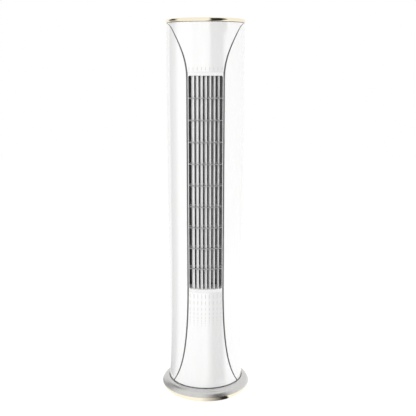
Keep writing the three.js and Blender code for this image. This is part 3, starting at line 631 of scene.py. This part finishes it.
def buildSkin():
    bottom, top, trim = cabinet["bottom"], cabinet["top"], outline["trim"]
    inset = trim + outline["joint"]
    left, right = seam(-1, -inset), seam(1, -inset)
    lowerTop = outlet["bottom"] - outlet["border"] - cabinet["gap"]
    upperBottom = outlet["top"] + outlet["border"] + cabinet["gap"]
    lower = panelRows(bottom, lowerTop, left, right, cabinet["frontColumns"], cabinet["lowerStep"])
    addSkin("front_panel_lower", lower, "gloss_white")
    upper = panelRows(upperBottom, top, left, right, cabinet["frontColumns"], cabinet["upperStep"])
    addSkin("front_panel_upper", upper, "gloss_white")

    def crown(share):
        return cabinet["radius"] - outline["trimSink"] + outline["trimCrown"] * math.sin(math.pi * share)

    for hand, sign in (("right", 1), ("left", -1)):
        side = panelRows(bottom, top, seam(sign, inset), lambda z: sign * cabinet["rearAngle"],
                         cabinet["sideColumns"], cabinet["sideStep"])
        addSkin("side_panel_" + hand, side, "gloss_white")

        # a slightly crowned strip fills the joint between the panels
        strip = panelRows(bottom, top, seam(sign, -trim), seam(sign, trim),
                          outline["trimColumns"], cabinet["sideStep"])
        addSkin("trim_strip_" + hand, strip, "trim_grey", outer=crown, edge=0.2)
    print("front and side panels built")


# each opening of the rear panel runs from an angle to an angle and from a height to a height
rear = {
    "intake": (136.0, 224.0, 640.0, 1560.0), "slot": (126.9, 131.3, 647.0, 1545.0),
    "pipes": (200.0, 226.0, 230.0, 340.0), "cord": (149.4, 154.6, 142.0, 158.0),
}
rearGrid = {"edge": 0.1, "angleStep": 1.6, "heightStep": 30.0}
play = {"angle": 0.15, "height": 0.3}


def filling(opening):
    # the bounds of the piece that fills an opening, with play round it
    fromAngle, toAngle, z0, z1 = rear[opening]
    return fromAngle + play["angle"], toAngle - play["angle"], z0 + play["height"], z1 - play["height"]


def buildRear():
    holes = list(rear.values())
    edge = cabinet["rearAngle"] + rearGrid["edge"]
    angles = gridLines([edge, 360 - edge] + [a for hole in holes for a in hole[:2]], rearGrid["angleStep"])
    heights = gridLines([cabinet["bottom"], cabinet["top"]] + [z for hole in holes for z in hole[2:]],
                        rearGrid["heightStep"])

    def keep(angle, z):
        return not any(hole[0] < angle < hole[1] and hole[2] < z < hole[3] for hole in holes)
    addSkin("rear_panel", [(z, angles) for z in heights], "gloss_white", keep)

    fromAngle, toAngle, z0, z1 = filling("pipes")
    cover = [(z, spread(fromAngle, toAngle, steps=20)) for z in spread(z0, z1, steps=6)]
    addSkin("pipe_cover", cover, "satin_white", edge=0.9)
    print("rear panel built")


# the sleeve's two lips hold the panel between them
grommet = {
    "angle": 152.0, "z": 150.0, "bore": 4.5, "neck": 8.7, "lip": 12.0, "innerLip": (175.0, 180.1),
    "outerLip": (184.3, 187.0),
}


def buildGrommet():
    # the rubber sleeve that a cord leaves by, turned about the radius
    bore, neck, lip = grommet["bore"], grommet["neck"], grommet["lip"]
    (back, backLip), (frontLip, front) = grommet["innerLip"], grommet["outerLip"]
    profile = [(bore, back), (lip, back), (lip, backLip), (neck, backLip),
               (neck, frontLip), (lip, frontLip), (lip, front), (bore, front)]
    vertices, faces = turnedShape(profile, segments=48)
    outward = [(x, -along, y) for x, y, along in vertices]
    piece = newObject("cordGrommet", *movedShape((outward, faces), (0, 0, grommet["z"]), grommet["angle"]))
    softenEdges(piece, 0.9, segments=3, limit=35)
    mount(piece, "cabinet", "rubber", "cord_grommet")
    print("grommet built")


grille = {
    "sink": 0.5, "border": 2.0, "bar": 6.0, "heightStep": 60.0,
    "bars": 40, "barWidth": 2.4, "barTip": 0.6, "barDepth": 2.2, "barBack": 2.4, "barLap": 1.0,
    "hoops": 15, "hoop": 2.6, "hoopBack": 2.6, "hoopFace": 0.7, "hoopChamfer": 0.4, "hoopLap": 0.5,
}


def buildGrille():
    fromAngle, toAngle, z0, z1 = filling("intake")
    radius, wall = cabinet["radius"] - grille["sink"], cabinet["wall"] - grille["sink"]
    left, right = fromAngle + grille["border"], toAngle - grille["border"]
    low, high = z0 + grille["bar"], z1 - grille["bar"]
    angles = gridLines([fromAngle, left, right, toAngle], rearGrid["angleStep"])
    heights = gridLines([z0, low, high, z1], grille["heightStep"])

    def keep(angle, z):
        return not (left < angle < right and low < z < high)
    shell = curvedShell([(z, angles) for z in heights], keep, lambda share: radius, radius - wall)
    piece = newObject("intakeGrille", *shell)

    # upright bars turned round the column, then hoops stacked up it
    half, tip, depth = grille["barWidth"] / 2, grille["barWidth"] / 2 * grille["barTip"], grille["barDepth"]
    section = [(-half, 0), (-tip, -depth), (tip, -depth), (half, 0)]
    base = grille["barBack"] - radius
    bar = newObject("uprightBar", *loftLoops([
        [(x, base + y, z) for x, y in section] for z in (low - grille["barLap"], high + grille["barLap"])]))
    step = (right - left) / (grille["bars"] + 1)
    runTree(bar, ringTree, Count=grille["bars"], FirstTurn=math.radians(left + step),
            TurnStep=math.radians(step), Material=finishes["satinWhite"])
    back, face = radius - grille["hoopBack"], radius - grille["hoopFace"]
    thick, chamfer = grille["hoop"], grille["hoopChamfer"]
    section = [(back, 0), (face, chamfer), (face, thick - chamfer), (back, thick)]
    hoop = newObject("hoop", *loftLoops([
        [polar(r, angle, z) for r, z in section]
        for angle in spread(left - grille["hoopLap"], right + grille["hoopLap"], steps=44)]))
    pitch = (high - low) / (grille["hoops"] + 1)
    runTree(hoop, rowTree, Count=grille["hoops"], Start=metres(0, 0, low + pitch - thick / 2),
            Step=metres(0, 0, pitch), Material=finishes["satinWhite"])
    mergePieces(piece, bar, hoop)
    smooth(piece)
    mount(piece, "cabinet", "satin_white", "intake_grille")
    print("intake grille built")


def addTurned(node, profile, slot, segments=220, sharp=40):
    piece = newObject(camelName(node), *turnedShape(profile, segments))
    smooth(piece, sharp)
    mount(piece, "cabinet", slot, node)


topRing = {"inner": 177.0, "outer": 186.0, "crown": 6.0, "base": 1812.5, "top": 1830.0, "chamfer": 0.6}


def buildTopRing():
    inner, outer, base, top = topRing["inner"], topRing["outer"], topRing["base"], topRing["top"]
    half, crown, chamfer = (top - base) / 2, topRing["crown"], topRing["chamfer"]
    face = arc(outer - crown, base + half, crown, half, -45, 90, steps=18)
    profile = [(inner, base)] + face + [(inner + chamfer, top), (inner, top - chamfer)]
    addTurned("top_ring", profile, "gold_trim", sharp=50)


topCover = {"gap": 0.3, "sink": 1.0, "dome": 8.0, "power": 3.2, "wall": 4.0, "skirt": 8.0, "flat": 6.0,
            "pole": 0.001}


def buildTopCover():
    # a shallow dome that falls to a skirt inside the top ring
    rim, middle = topRing["inner"] - topCover["gap"], topRing["top"] - topCover["sink"]
    wall, pole, skirt = topCover["wall"], topCover["pole"], cabinet["top"] - topCover["skirt"]
    face = [(rim * share, middle - topCover["dome"] * share ** topCover["power"])
            for share in spread(0, 1, steps=24)[1:]]
    under = [(rim, skirt), (rim - wall, skirt), (rim - wall, middle - topCover["dome"] - wall),
             (topCover["flat"], middle - wall), (pole, middle - wall)]
    addTurned("top_cover", [(pole, middle)] + face + under, "satin_white", segments=160)


baseRim = {"inner": 190.3, "seat": 208.3, "foot": (198.0, 2.0), "edge": 220.7, "top": 28.5, "lip": 10.0,
           "turnIn": 75.0}
baseRing = {"centre": (184.0, 14.0), "reach": 40.0, "rise": 47.0, "wall": 3.0, "gap": 0.3,
            "seat": (187.0, 55.0), "outerArc": (18.5, 85.5, 26), "innerArc": (76, 30, 8)}


def buildBaseRim():
    # a bowl's foot, which curves in from the ring above down to the floor
    (foot, footHeight), turnIn = baseRim["foot"], baseRim["turnIn"]
    inner, top = baseRim["inner"], baseRim["top"]
    fall = (footHeight - top) / math.sin(math.radians(turnIn))
    bowl = arc(foot, top, baseRim["edge"] - foot, fall, turnIn, 0, steps=18)
    profile = [(inner, footHeight)] + bowl + [(baseRim["seat"], top), (inner, baseRim["lip"])]
    addTurned("base_rim", profile, "gold_trim")


def buildBaseRing():
    inner, bottom, wall = baseRim["seat"], baseRim["top"] + baseRing["gap"], baseRing["wall"]
    centre, reach, rise = baseRing["centre"], baseRing["reach"], baseRing["rise"]
    profile = ([(inner, bottom)] + arc(*centre, reach, rise, *baseRing["outerArc"]) + [baseRing["seat"]]
               + arc(*centre, reach - wall, rise - wall, *baseRing["innerArc"]) + [(inner, bottom + wall)])
    addTurned("base_ring", profile, "brushed_silver")


def ribHeights():
    pitch = (outlet["top"] - outlet["bottom"]) / (outlet["ribs"] + 1)
    return [outlet["bottom"] + (k + 1) * pitch for k in range(outlet["ribs"])]


vanes = {
    "count": 7, "pitch": 19.5, "chord": 28.0, "thickness": 4.2, "fullness": (2.4, 0.7), "steps": 14,
    "tip": 178.0, "yaw": 24.0, "fan": 0.1, "notch": 1.4, "clear": 1.0, "play": 0.8,
    "pin": 2.0, "pinSunk": 0.5, "pinBelow": 5.0, "pinAbove": 6.0, "motorPin": 9.0,
    "crank": 12.0, "crankYaw": 18.0, "crankPinTop": 1590.0, "arm": 4.6, "armThick": 2.0, "armRoot": 3.6,
    "armTip": 3.0,
}


def vaneAxisY(x):
    return (vanes["chord"] / 2) * math.cos(math.radians(vanes["yaw"])) - math.sqrt(vanes["tip"] ** 2 - x * x)


def frameLoop(half, z0, z1, corner):
    # rounded rectangle of (x, z), with points along its level sides only
    points = []
    for cx, cz, start in ((half - corner, z0 + corner, -90), (half - corner, z1 - corner, 0),
                          (corner - half, z1 - corner, 90), (corner - half, z0 + corner, 180)):
        points += arc(cx, cz, corner, corner, start, start + 90, steps=8)
        if start in (0, 180):
            level = z1 if start == 0 else z0
            points += [(x, level) for x in spread(cx, -cx, steps=24)[1:-1]]
    return points


def buildOutletFrame():
    radius, back, corner = cabinet["radius"], outlet["back"], outlet["corner"]
    bottom, top, border, wall = outlet["bottom"], outlet["top"], outlet["border"], outlet["sleeve"]
    inner, room = radius - outlet["depth"], wall + outlet["sleeveRoom"]

    def onBarrel(loop, r):
        return [(x, -math.sqrt(r * r - x * x), z) for x, z in loop]

    def flat(loop, y):
        return [(x, y, z) for x, z in loop]

    def outer(r):
        reach = math.sin(math.radians(outline["waist"] - outline["trim"] - outline["joint"]))
        return onBarrel(frameLoop(r * reach, bottom - border, top + border, outlet["outerCorner"]), r)
    hole = frameLoop(outlet["half"], bottom, top, corner)
    sleeve = frameLoop(outlet["half"] + wall, bottom - room, top + room, corner + wall)
    loops = [outer(inner), outer(radius), onBarrel(hole, radius), flat(hole, back), flat(sleeve, back),
             onBarrel(sleeve, inner - outlet["sleeveRoom"])]
    piece = newObject("outletFrame", *loftLoops(loops, closed=True))
    softenEdges(piece, 1.1, segments=3, limit=35)
    mount(piece, "cabinet", "gloss_white", "outlet_frame", finish="frameWhite")

    # one cross rib, repeated up the outlet, in a grey that is painted shade on a rib as white as the frame
    sink, thick, chamfer = outlet["ribSink"], outlet["rib"], outlet["ribChamfer"]
    edge = outlet["half"] + sink
    front = onBarrel([(x, 0) for x in spread(-edge, edge, steps=30)], radius - sink)
    behind = [(x, vaneAxisY(x) - vanes["notch"] - outlet["ribGap"]) for x in spread(edge, -edge, steps=30)]
    loops = []
    for z, inset in ((0, chamfer), (chamfer, 0), (thick - chamfer, 0), (thick, chamfer)):
        loops.append([(x, y + inset, z) for x, y, _ in front] + [(x, y - inset, z) for x, y in behind])
    rib = newObject("outletRibs", *loftLoops(loops))
    heights = ribHeights()
    runTree(rib, rowTree, Count=len(heights), Start=metres(0, 0, heights[0] - thick / 2),
            Step=metres(0, 0, heights[1] - heights[0]), Material=finishes["ribGrey"])
    smooth(rib)
    mount(rib, "cabinet", "vane_silver", finish="ribGrey")
    print("outlet frame built")


def bladeSection(chord, thickness, fullness, steps):
    # slim streamlined section of (across, along), rounded at both ends
    half, flank = chord / 2, thickness / 2
    side = []
    for k in range(steps + 1):
        along = -half * math.cos(math.pi * k / steps)
        side.append((flank * max(0.0, 1 - abs(along / half) ** fullness[0]) ** fullness[1], along))
    return side + [(-across, along) for across, along in reversed(side[1:-1])]


def addBlade(node, shape):
    piece = newObject(camelName(node), *shape)
    smooth(piece, 40)
    mount(piece, node + "_body", "vane_silver", node)


def vaneShape(pinTop, lean):
    # the crank points straight back, and the blade leans from it
    section = bladeSection(vanes["chord"], vanes["thickness"], vanes["fullness"], vanes["steps"])
    slim = [(x, max(y, -vanes["notch"])) for x, y in section]
    room = outlet["rib"] / 2 + vanes["clear"]
    bottom, top = outlet["bottom"] + vanes["play"], outlet["top"] - vanes["play"]
    stack = [(section, bottom)]
    for z in ribHeights():
        stack += [(section, z - room), (slim, z - room), (slim, z + room), (section, z + room)]
    blade = loftLoops([[(x, y, z) for x, y in points] for points, z in stack + [(section, top)]])
    crank, pin, sunk = vanes["crank"], vanes["pin"], vanes["pinSunk"]
    arm, root, tip = outlet["top"] + vanes["arm"], vanes["armRoot"], vanes["armTip"]
    plan = [(-root, -root), (root, -root), (tip, crank + tip), (-tip, crank + tip)]
    return joinShapes(
        movedShape(blade, turn=lean),
        rodShape("z", pin, outlet["bottom"] - vanes["pinBelow"], bottom + sunk),
        rodShape("z", pin, top - sunk, pinTop),
        loftLoops([[(x, y, z) for x, y in plan] for z in (arm, arm + vanes["armThick"])]),
        rodShape("z", pin, arm + vanes["armThick"] / 2, vanes["crankPinTop"], (0, crank, 0)),
    )


def buildVanes():
    middle = (vanes["count"] + 1) // 2
    for number in range(1, vanes["count"] + 1):
        x = (number - middle) * vanes["pitch"]
        pinTop = outlet["top"] + vanes["pinAbove"]
        if number == middle:
            pinTop = outlet["top"] + outlet["border"] + vanes["motorPin"]
        lean = vanes["yaw"] - vanes["fan"] * x - vanes["crankYaw"]
        shape = movedShape(vaneShape(pinTop, lean), (x, vaneAxisY(x), 0), vanes["crankYaw"])
        addBlade("vane_%d" % number, shape)
    print("upright vanes built:", vanes["count"])


louvres = {
    "y": -118.0, "chord": 30.0, "thickness": 4.0, "fullness": (2, 0.6), "steps": 12, "play": 0.8,
    "pin": 2.0, "pinSunk": 0.5, "pinPast": 0.5, "motorPin": 9.0, "arm": 0.6, "armThick": 2.0, "armRoot": 3.5,
    "armTip": 3.0, "pinIn": 0.4, "crank": 12.0, "crankPinIn": 1.4, "crankPinEnd": 89.0,
}


def buildLouvres():
    section = bladeSection(louvres["chord"], louvres["thickness"], louvres["fullness"], louvres["steps"])
    width, outer = outlet["half"] - louvres["play"], outlet["half"] + outlet["sleeve"]
    crank, pin, sunk = louvres["crank"], louvres["pin"], louvres["pinSunk"]
    arm, root, tip = outer + louvres["arm"], louvres["armRoot"], louvres["armTip"]
    heights = ribHeights()
    middle = (len(heights) + 1) // 2
    for number, z in enumerate(heights, 1):
        leftEnd = outer + (louvres["motorPin"] if number == middle else louvres["pinPast"])
        shape = joinShapes(
            loftLoops([[(x, along, across) for across, along in section] for x in (-width, width)]),
            rodShape("x", pin, -leftEnd, sunk - width),
            rodShape("x", pin, width - sunk, arm + louvres["pinIn"]),
            boxShape(arm, arm + louvres["armThick"], -root, crank + tip, -tip, tip),
            rodShape("x", pin, arm + louvres["crankPinIn"], louvres["crankPinEnd"], (0, crank, 0)),
        )
        addBlade("louvre_%d" % number, movedShape(shape, (0, louvres["y"], z)))
    print("level louvres built:", len(heights))


# the blade's line is given as steps out from the hub, and the degrees by which it leads there
fan = {
    "y": -28.0, "radius": 62.5, "hub": 47.0, "bottom": 572.0, "top": 1584.0, "bore": 4.6, "blades": 34,
    "blade": 1.1, "line": ((0, 0), (4, 0.8), (8, 3.2), (12, 7.2), (15.5, 12.6)), "bladePlay": 1.0,
    "discs": 12, "disc": 2.2, "endDisc": 3.0, "endLap": 1.0,
}


def buildFan():
    # one forward-curved blade turned round the axis, and one ring disc repeated up it
    # the fan's plastic carries painted light, lighter than its real dark tone
    dark, hub, bottom, top = finishes["darkPlastic"], fan["hub"], fan["bottom"], fan["top"]
    sides = [[], []]
    for step, lead in fan["line"]:
        for side, sign in zip(sides, (-1, 1)):
            r = hub + step
            turn = math.radians(lead) + sign * fan["blade"] / 2 / r
            side.append((r * math.cos(turn), r * math.sin(turn)))
    section = sides[0] + sides[1][::-1]
    blade = newObject("fanRotor", *loftLoops([
        [(x, y, z) for x, y in section] for z in (bottom + fan["bladePlay"], top - fan["bladePlay"])]))
    runTree(blade, ringTree, Count=fan["blades"], Centre=metres(0, fan["y"], 0), FirstTurn=0.0,
            TurnStep=2 * math.pi / fan["blades"], Material=dark)

    def discShape(inner, outer, z, thick, centre=(0, 0)):
        profile = [(inner, z), (outer, z), (outer, z + thick), (inner, z + thick)]
        return turnedShape(profile, segments=48, centre=centre)
    disc = newObject("ringDisc", *discShape(hub, fan["radius"], 0, fan["disc"]))
    pitch = (top - bottom - fan["disc"]) / (fan["discs"] - 1)
    runTree(disc, rowTree, Count=fan["discs"], Start=metres(0, fan["y"], bottom), Step=metres(0, 0, pitch),
            Material=dark)
    thick, centre = fan["endDisc"], (0, fan["y"])
    ends = [newObject("endDisc", *discShape(fan["bore"], hub + fan["endLap"], z, thick, centre))
            for z in (bottom, top - thick)]
    mergePieces(blade, disc, *ends)
    smooth(blade)
    mount(blade, "fan", "dark_plastic", "fan_rotor")
    print("cross-flow fan built:", fan["blades"], "blades")


# each row is (height, length)
dashes = {
    "columns": 9, "pitch": 18.6, "width": 3.4, "proud": 0.5,
    "rows": [(1609.0, 17.0), (539.2, 25.4), (506.4, 21.9), (475.0, 17.4), (451.4, 13.4), (430.8, 11.3),
             (415.6, 8.8), (402.7, 5.7), (390.8, 4.7)],
}


def buildDashes():
    # fine upright dashes, one row above the outlet and below it rows that get shorter
    points, lengths, turns = [], [], []
    for column in range(dashes["columns"]):
        x = (column - (dashes["columns"] - 1) / 2) * dashes["pitch"]
        angle = math.asin(x / cabinet["radius"])
        for z, length in dashes["rows"]:
            points.append((x, -cabinet["radius"] * math.cos(angle), z))
            lengths.append(length / 1000)
            turns.append(angle)
    piece = newObject("dashInlays", points, [])
    for name, values in (("spotLength", lengths), ("spotTurn", turns)):
        piece.data.attributes.new(name, "FLOAT", "POINT").data.foreach_set("value", values)
    runTree(piece, spotTree, Width=dashes["width"] / 1000, Depth=dashes["proud"] / 1000,
            Material=finishes["dashGrey"])
    smooth(piece, 60)
    mount(piece, "cabinet", "trim_grey", finish="dashGrey")
    print("dashes built:", len(points))


buildSkin()
buildRear()
buildGrommet()
buildGrille()
buildTopRing()
buildTopCover()
buildBaseRim()
buildBaseRing()
print("rings and top cover built")
buildOutletFrame()
buildVanes()
buildLouvres()
buildFan()
buildDashes()


def seenDirectly(tree):
    # one for what the camera sees, straight or in a reflection, and none for the light that falls on pieces
    path = tree.nodes.new("ShaderNodeLightPath")
    mirrored = mathNode(tree, "MAXIMUM", path.outputs["Is Glossy Ray"], path.outputs["Is Transmission Ray"])
    return mathNode(tree, "MAXIMUM", path.outputs["Is Camera Ray"], mirrored)


def mixShaders(tree, factor, first, second, output):
    mix = tree.nodes.new("ShaderNodeMixShader")
    for socket, value in zip(mix.inputs, (factor, first.outputs[0], second.outputs[0])):
        feed(tree, socket, value)
    feedAll(tree, output, Surface=mix.outputs[0])


floor = {"half": 9.0, "tone": 0.8, "seenTone": 0.3, "glow": 0.84}
backdrop = {"seen": 1.0, "ambient": 0.54}


def buildFloor():
    half = floor["half"]
    corners = [(-half, -half, 0), (half, -half, 0), (half, half, 0), (-half, half, 0)]
    mesh = newMesh("floor", corners, [(0, 1, 2, 3)])
    material = bpy.data.materials.new("paleFloor")
    material.use_nodes = True
    tree = material.node_tree
    tree.nodes.clear()
    # to the camera and in reflections the floor glows white, but for the shadow
    plain, faint = [addNode(tree, "ShaderNodeBsdfDiffuse", Color=(tone, tone, tone, 1))
                    for tone in (floor["tone"], floor["seenTone"])]
    glow = addNode(tree, "ShaderNodeEmission", Strength=floor["glow"])
    white = tree.nodes.new("ShaderNodeAddShader")
    for socket, shader in zip(white.inputs, (faint, glow)):
        feed(tree, socket, shader.outputs[0])
    mixShaders(tree, seenDirectly(tree), plain, white, tree.nodes.new("ShaderNodeOutputMaterial"))
    mesh.materials.append(material)
    addObject("floor", mesh)


def buildWorld():
    world = bpy.data.worlds.new("studioWorld")
    bpy.context.scene.world = world
    world.use_nodes = True
    tree = world.node_tree
    back = tree.nodes["Background"]
    strength = mapRange(tree, seenDirectly(tree), backdrop["ambient"], backdrop["seen"])
    feedAll(tree, back, Color=(1, 1, 1, 1), Strength=strength)


# (angle, distance, height), then (width, length), then watts
lamps = {
    "keyLamp": ((-52, 3.2, 1.9), (1.6, 2.4), 38),
    "frontLamp": ((-8, 3.6, 1.5), (1.4, 2.2), 34),
    "sideLamp": ((78, 2.6, 1.3), (1.2, 2.4), 32),
    "rearLamp": ((172, 3.2, 1.7), (1.6, 2.2), 30),
    "topLamp": ((0, 0, 3.6), (1.0, 1.0), 14),
}


def addLamp(name, place, size, power, aimHeight=0.9):
    angle, distance, height = place
    lamp = bpy.data.lights.new(name, "AREA")
    lamp.shape = "RECTANGLE"
    lamp.size, lamp.size_y = size
    lamp.energy = power
    holder = addObject(name, lamp)
    holder.location = polar(distance, angle, height)
    aim = Vector((0, 0, aimHeight)) - holder.location
    holder.rotation_euler = aim.to_track_quat("-Z", "Y").to_euler()
    holder.visible_glossy = False


def cardMaterial():
    # dark, and clear where the card fades out
    material, tree, shader = startMaterial("darkCard", (0.02, 0.02, 0.02), 0.9)
    cover = tree.nodes.new("ShaderNodeAttribute")
    cover.attribute_name = "cover"
    clear = tree.nodes.new("ShaderNodeBsdfTransparent")
    mixShaders(tree, cover.outputs["Fac"], clear, shader, tree.nodes["Material Output"])
    return material


# a card that only reflections see, as a photographer sets beside glossy ware. It fades in from its first
# angle to the second and out from the third to the fourth. Then come its near and its far edge, each as
# (distance, height), and how dark it is at both.
rightBand, leftBand = (8, 18, 46, 58), (-130, -120, -98, -84)
frontBand, footBand = (2, 20, 46, 58), (-8, 24, 32, 35)
cards = {
    "rightCard": (rightBand, (2.4, 0.0), (2.4, 1.95), (1.0, 1.0)),
    "rightFadeCard": (rightBand, (2.4, 1.95), (2.4, 2.4), (1.0, 0.0)),
    "rightTopCard": ((10, 16, 54, 62), (0.9, 1.8), (0.9, 3.4), (1.0, 1.0)),
    "rightNearCard": (frontBand, (0.24, 0.0006), (0.42, 0.0006), (0.0, 1.0)),
    "rightFloorCard": (frontBand, (0.42, 0.0006), (2.4, 0.0006), (1.0, 1.0)),
    "leftCard": (leftBand, (2.4, 0.0), (2.4, 1.93), (0.6, 0.6)),
    "leftTopCard": (leftBand, (2.4, 1.93), (2.4, 3.4), (1.0, 1.0)),
    "leftFloorCard": (leftBand, (0.3, 0.0006), (2.4, 0.0006), (0.6, 0.6)),
    "footCard": (footBand, (0.205, 0.0005), (0.29, 0.0005), (1.0, 1.0)),
    "footFadeCard": (footBand, (0.29, 0.0005), (0.42, 0.0005), (1.0, 0.0)),
}


def addCard(name, material, angles, near, far, strength):
    start, full, fade, end = angles
    marks = spread(start, full, 8) + spread(full, fade, 6)[1:] + spread(fade, end, 8)[1:]
    points, cover = [], []
    for angle in marks:
        shown = min(1.0, (angle - start) / (full - start), (end - angle) / (end - fade))
        for (distance, height), part in zip((near, far), strength):
            points.append(polar(distance, angle, height))
            cover.append(part * shown)
    faces = [(2 * k, 2 * k + 2, 2 * k + 3, 2 * k + 1) for k in range(len(marks) - 1)]
    mesh = newMesh(name, points, faces)
    mesh.attributes.new("cover", "FLOAT", "POINT").data.foreach_set("value", cover)
    mesh.materials.append(material)
    card = addObject(name, mesh)
    for ray in ("camera", "diffuse", "shadow", "transmission", "volume_scatter"):
        setattr(card, "visible_" + ray, False)


view = {
    "distance": 3.4042, "height": 1.6357, "tilt": 12.986, "lens": 60.967, "sensor": 36.0,
    "shiftAcross": 0.0059, "shiftUp": 0.0409, "farEnd": 60.0,
}


def buildCamera():
    camera = bpy.data.cameras.new("camera")
    camera.lens, camera.sensor_width = view["lens"], view["sensor"]
    camera.shift_x, camera.shift_y = view["shiftAcross"], view["shiftUp"]
    camera.clip_end = view["farEnd"]
    holder = addObject("camera", camera)
    holder.location = (0, -view["distance"], view["height"])
    holder.rotation_euler = (math.radians(90 - view["tilt"]), 0, 0)
    bpy.context.scene.camera = holder


buildFloor()
buildWorld()
for name, lamp in lamps.items():
    addLamp(name, *lamp)
darkCard = cardMaterial()
for name, card in cards.items():
    addCard(name, darkCard, *card)
buildCamera()
bpy.context.scene.view_settings.view_transform = "Standard"
print("studio built")
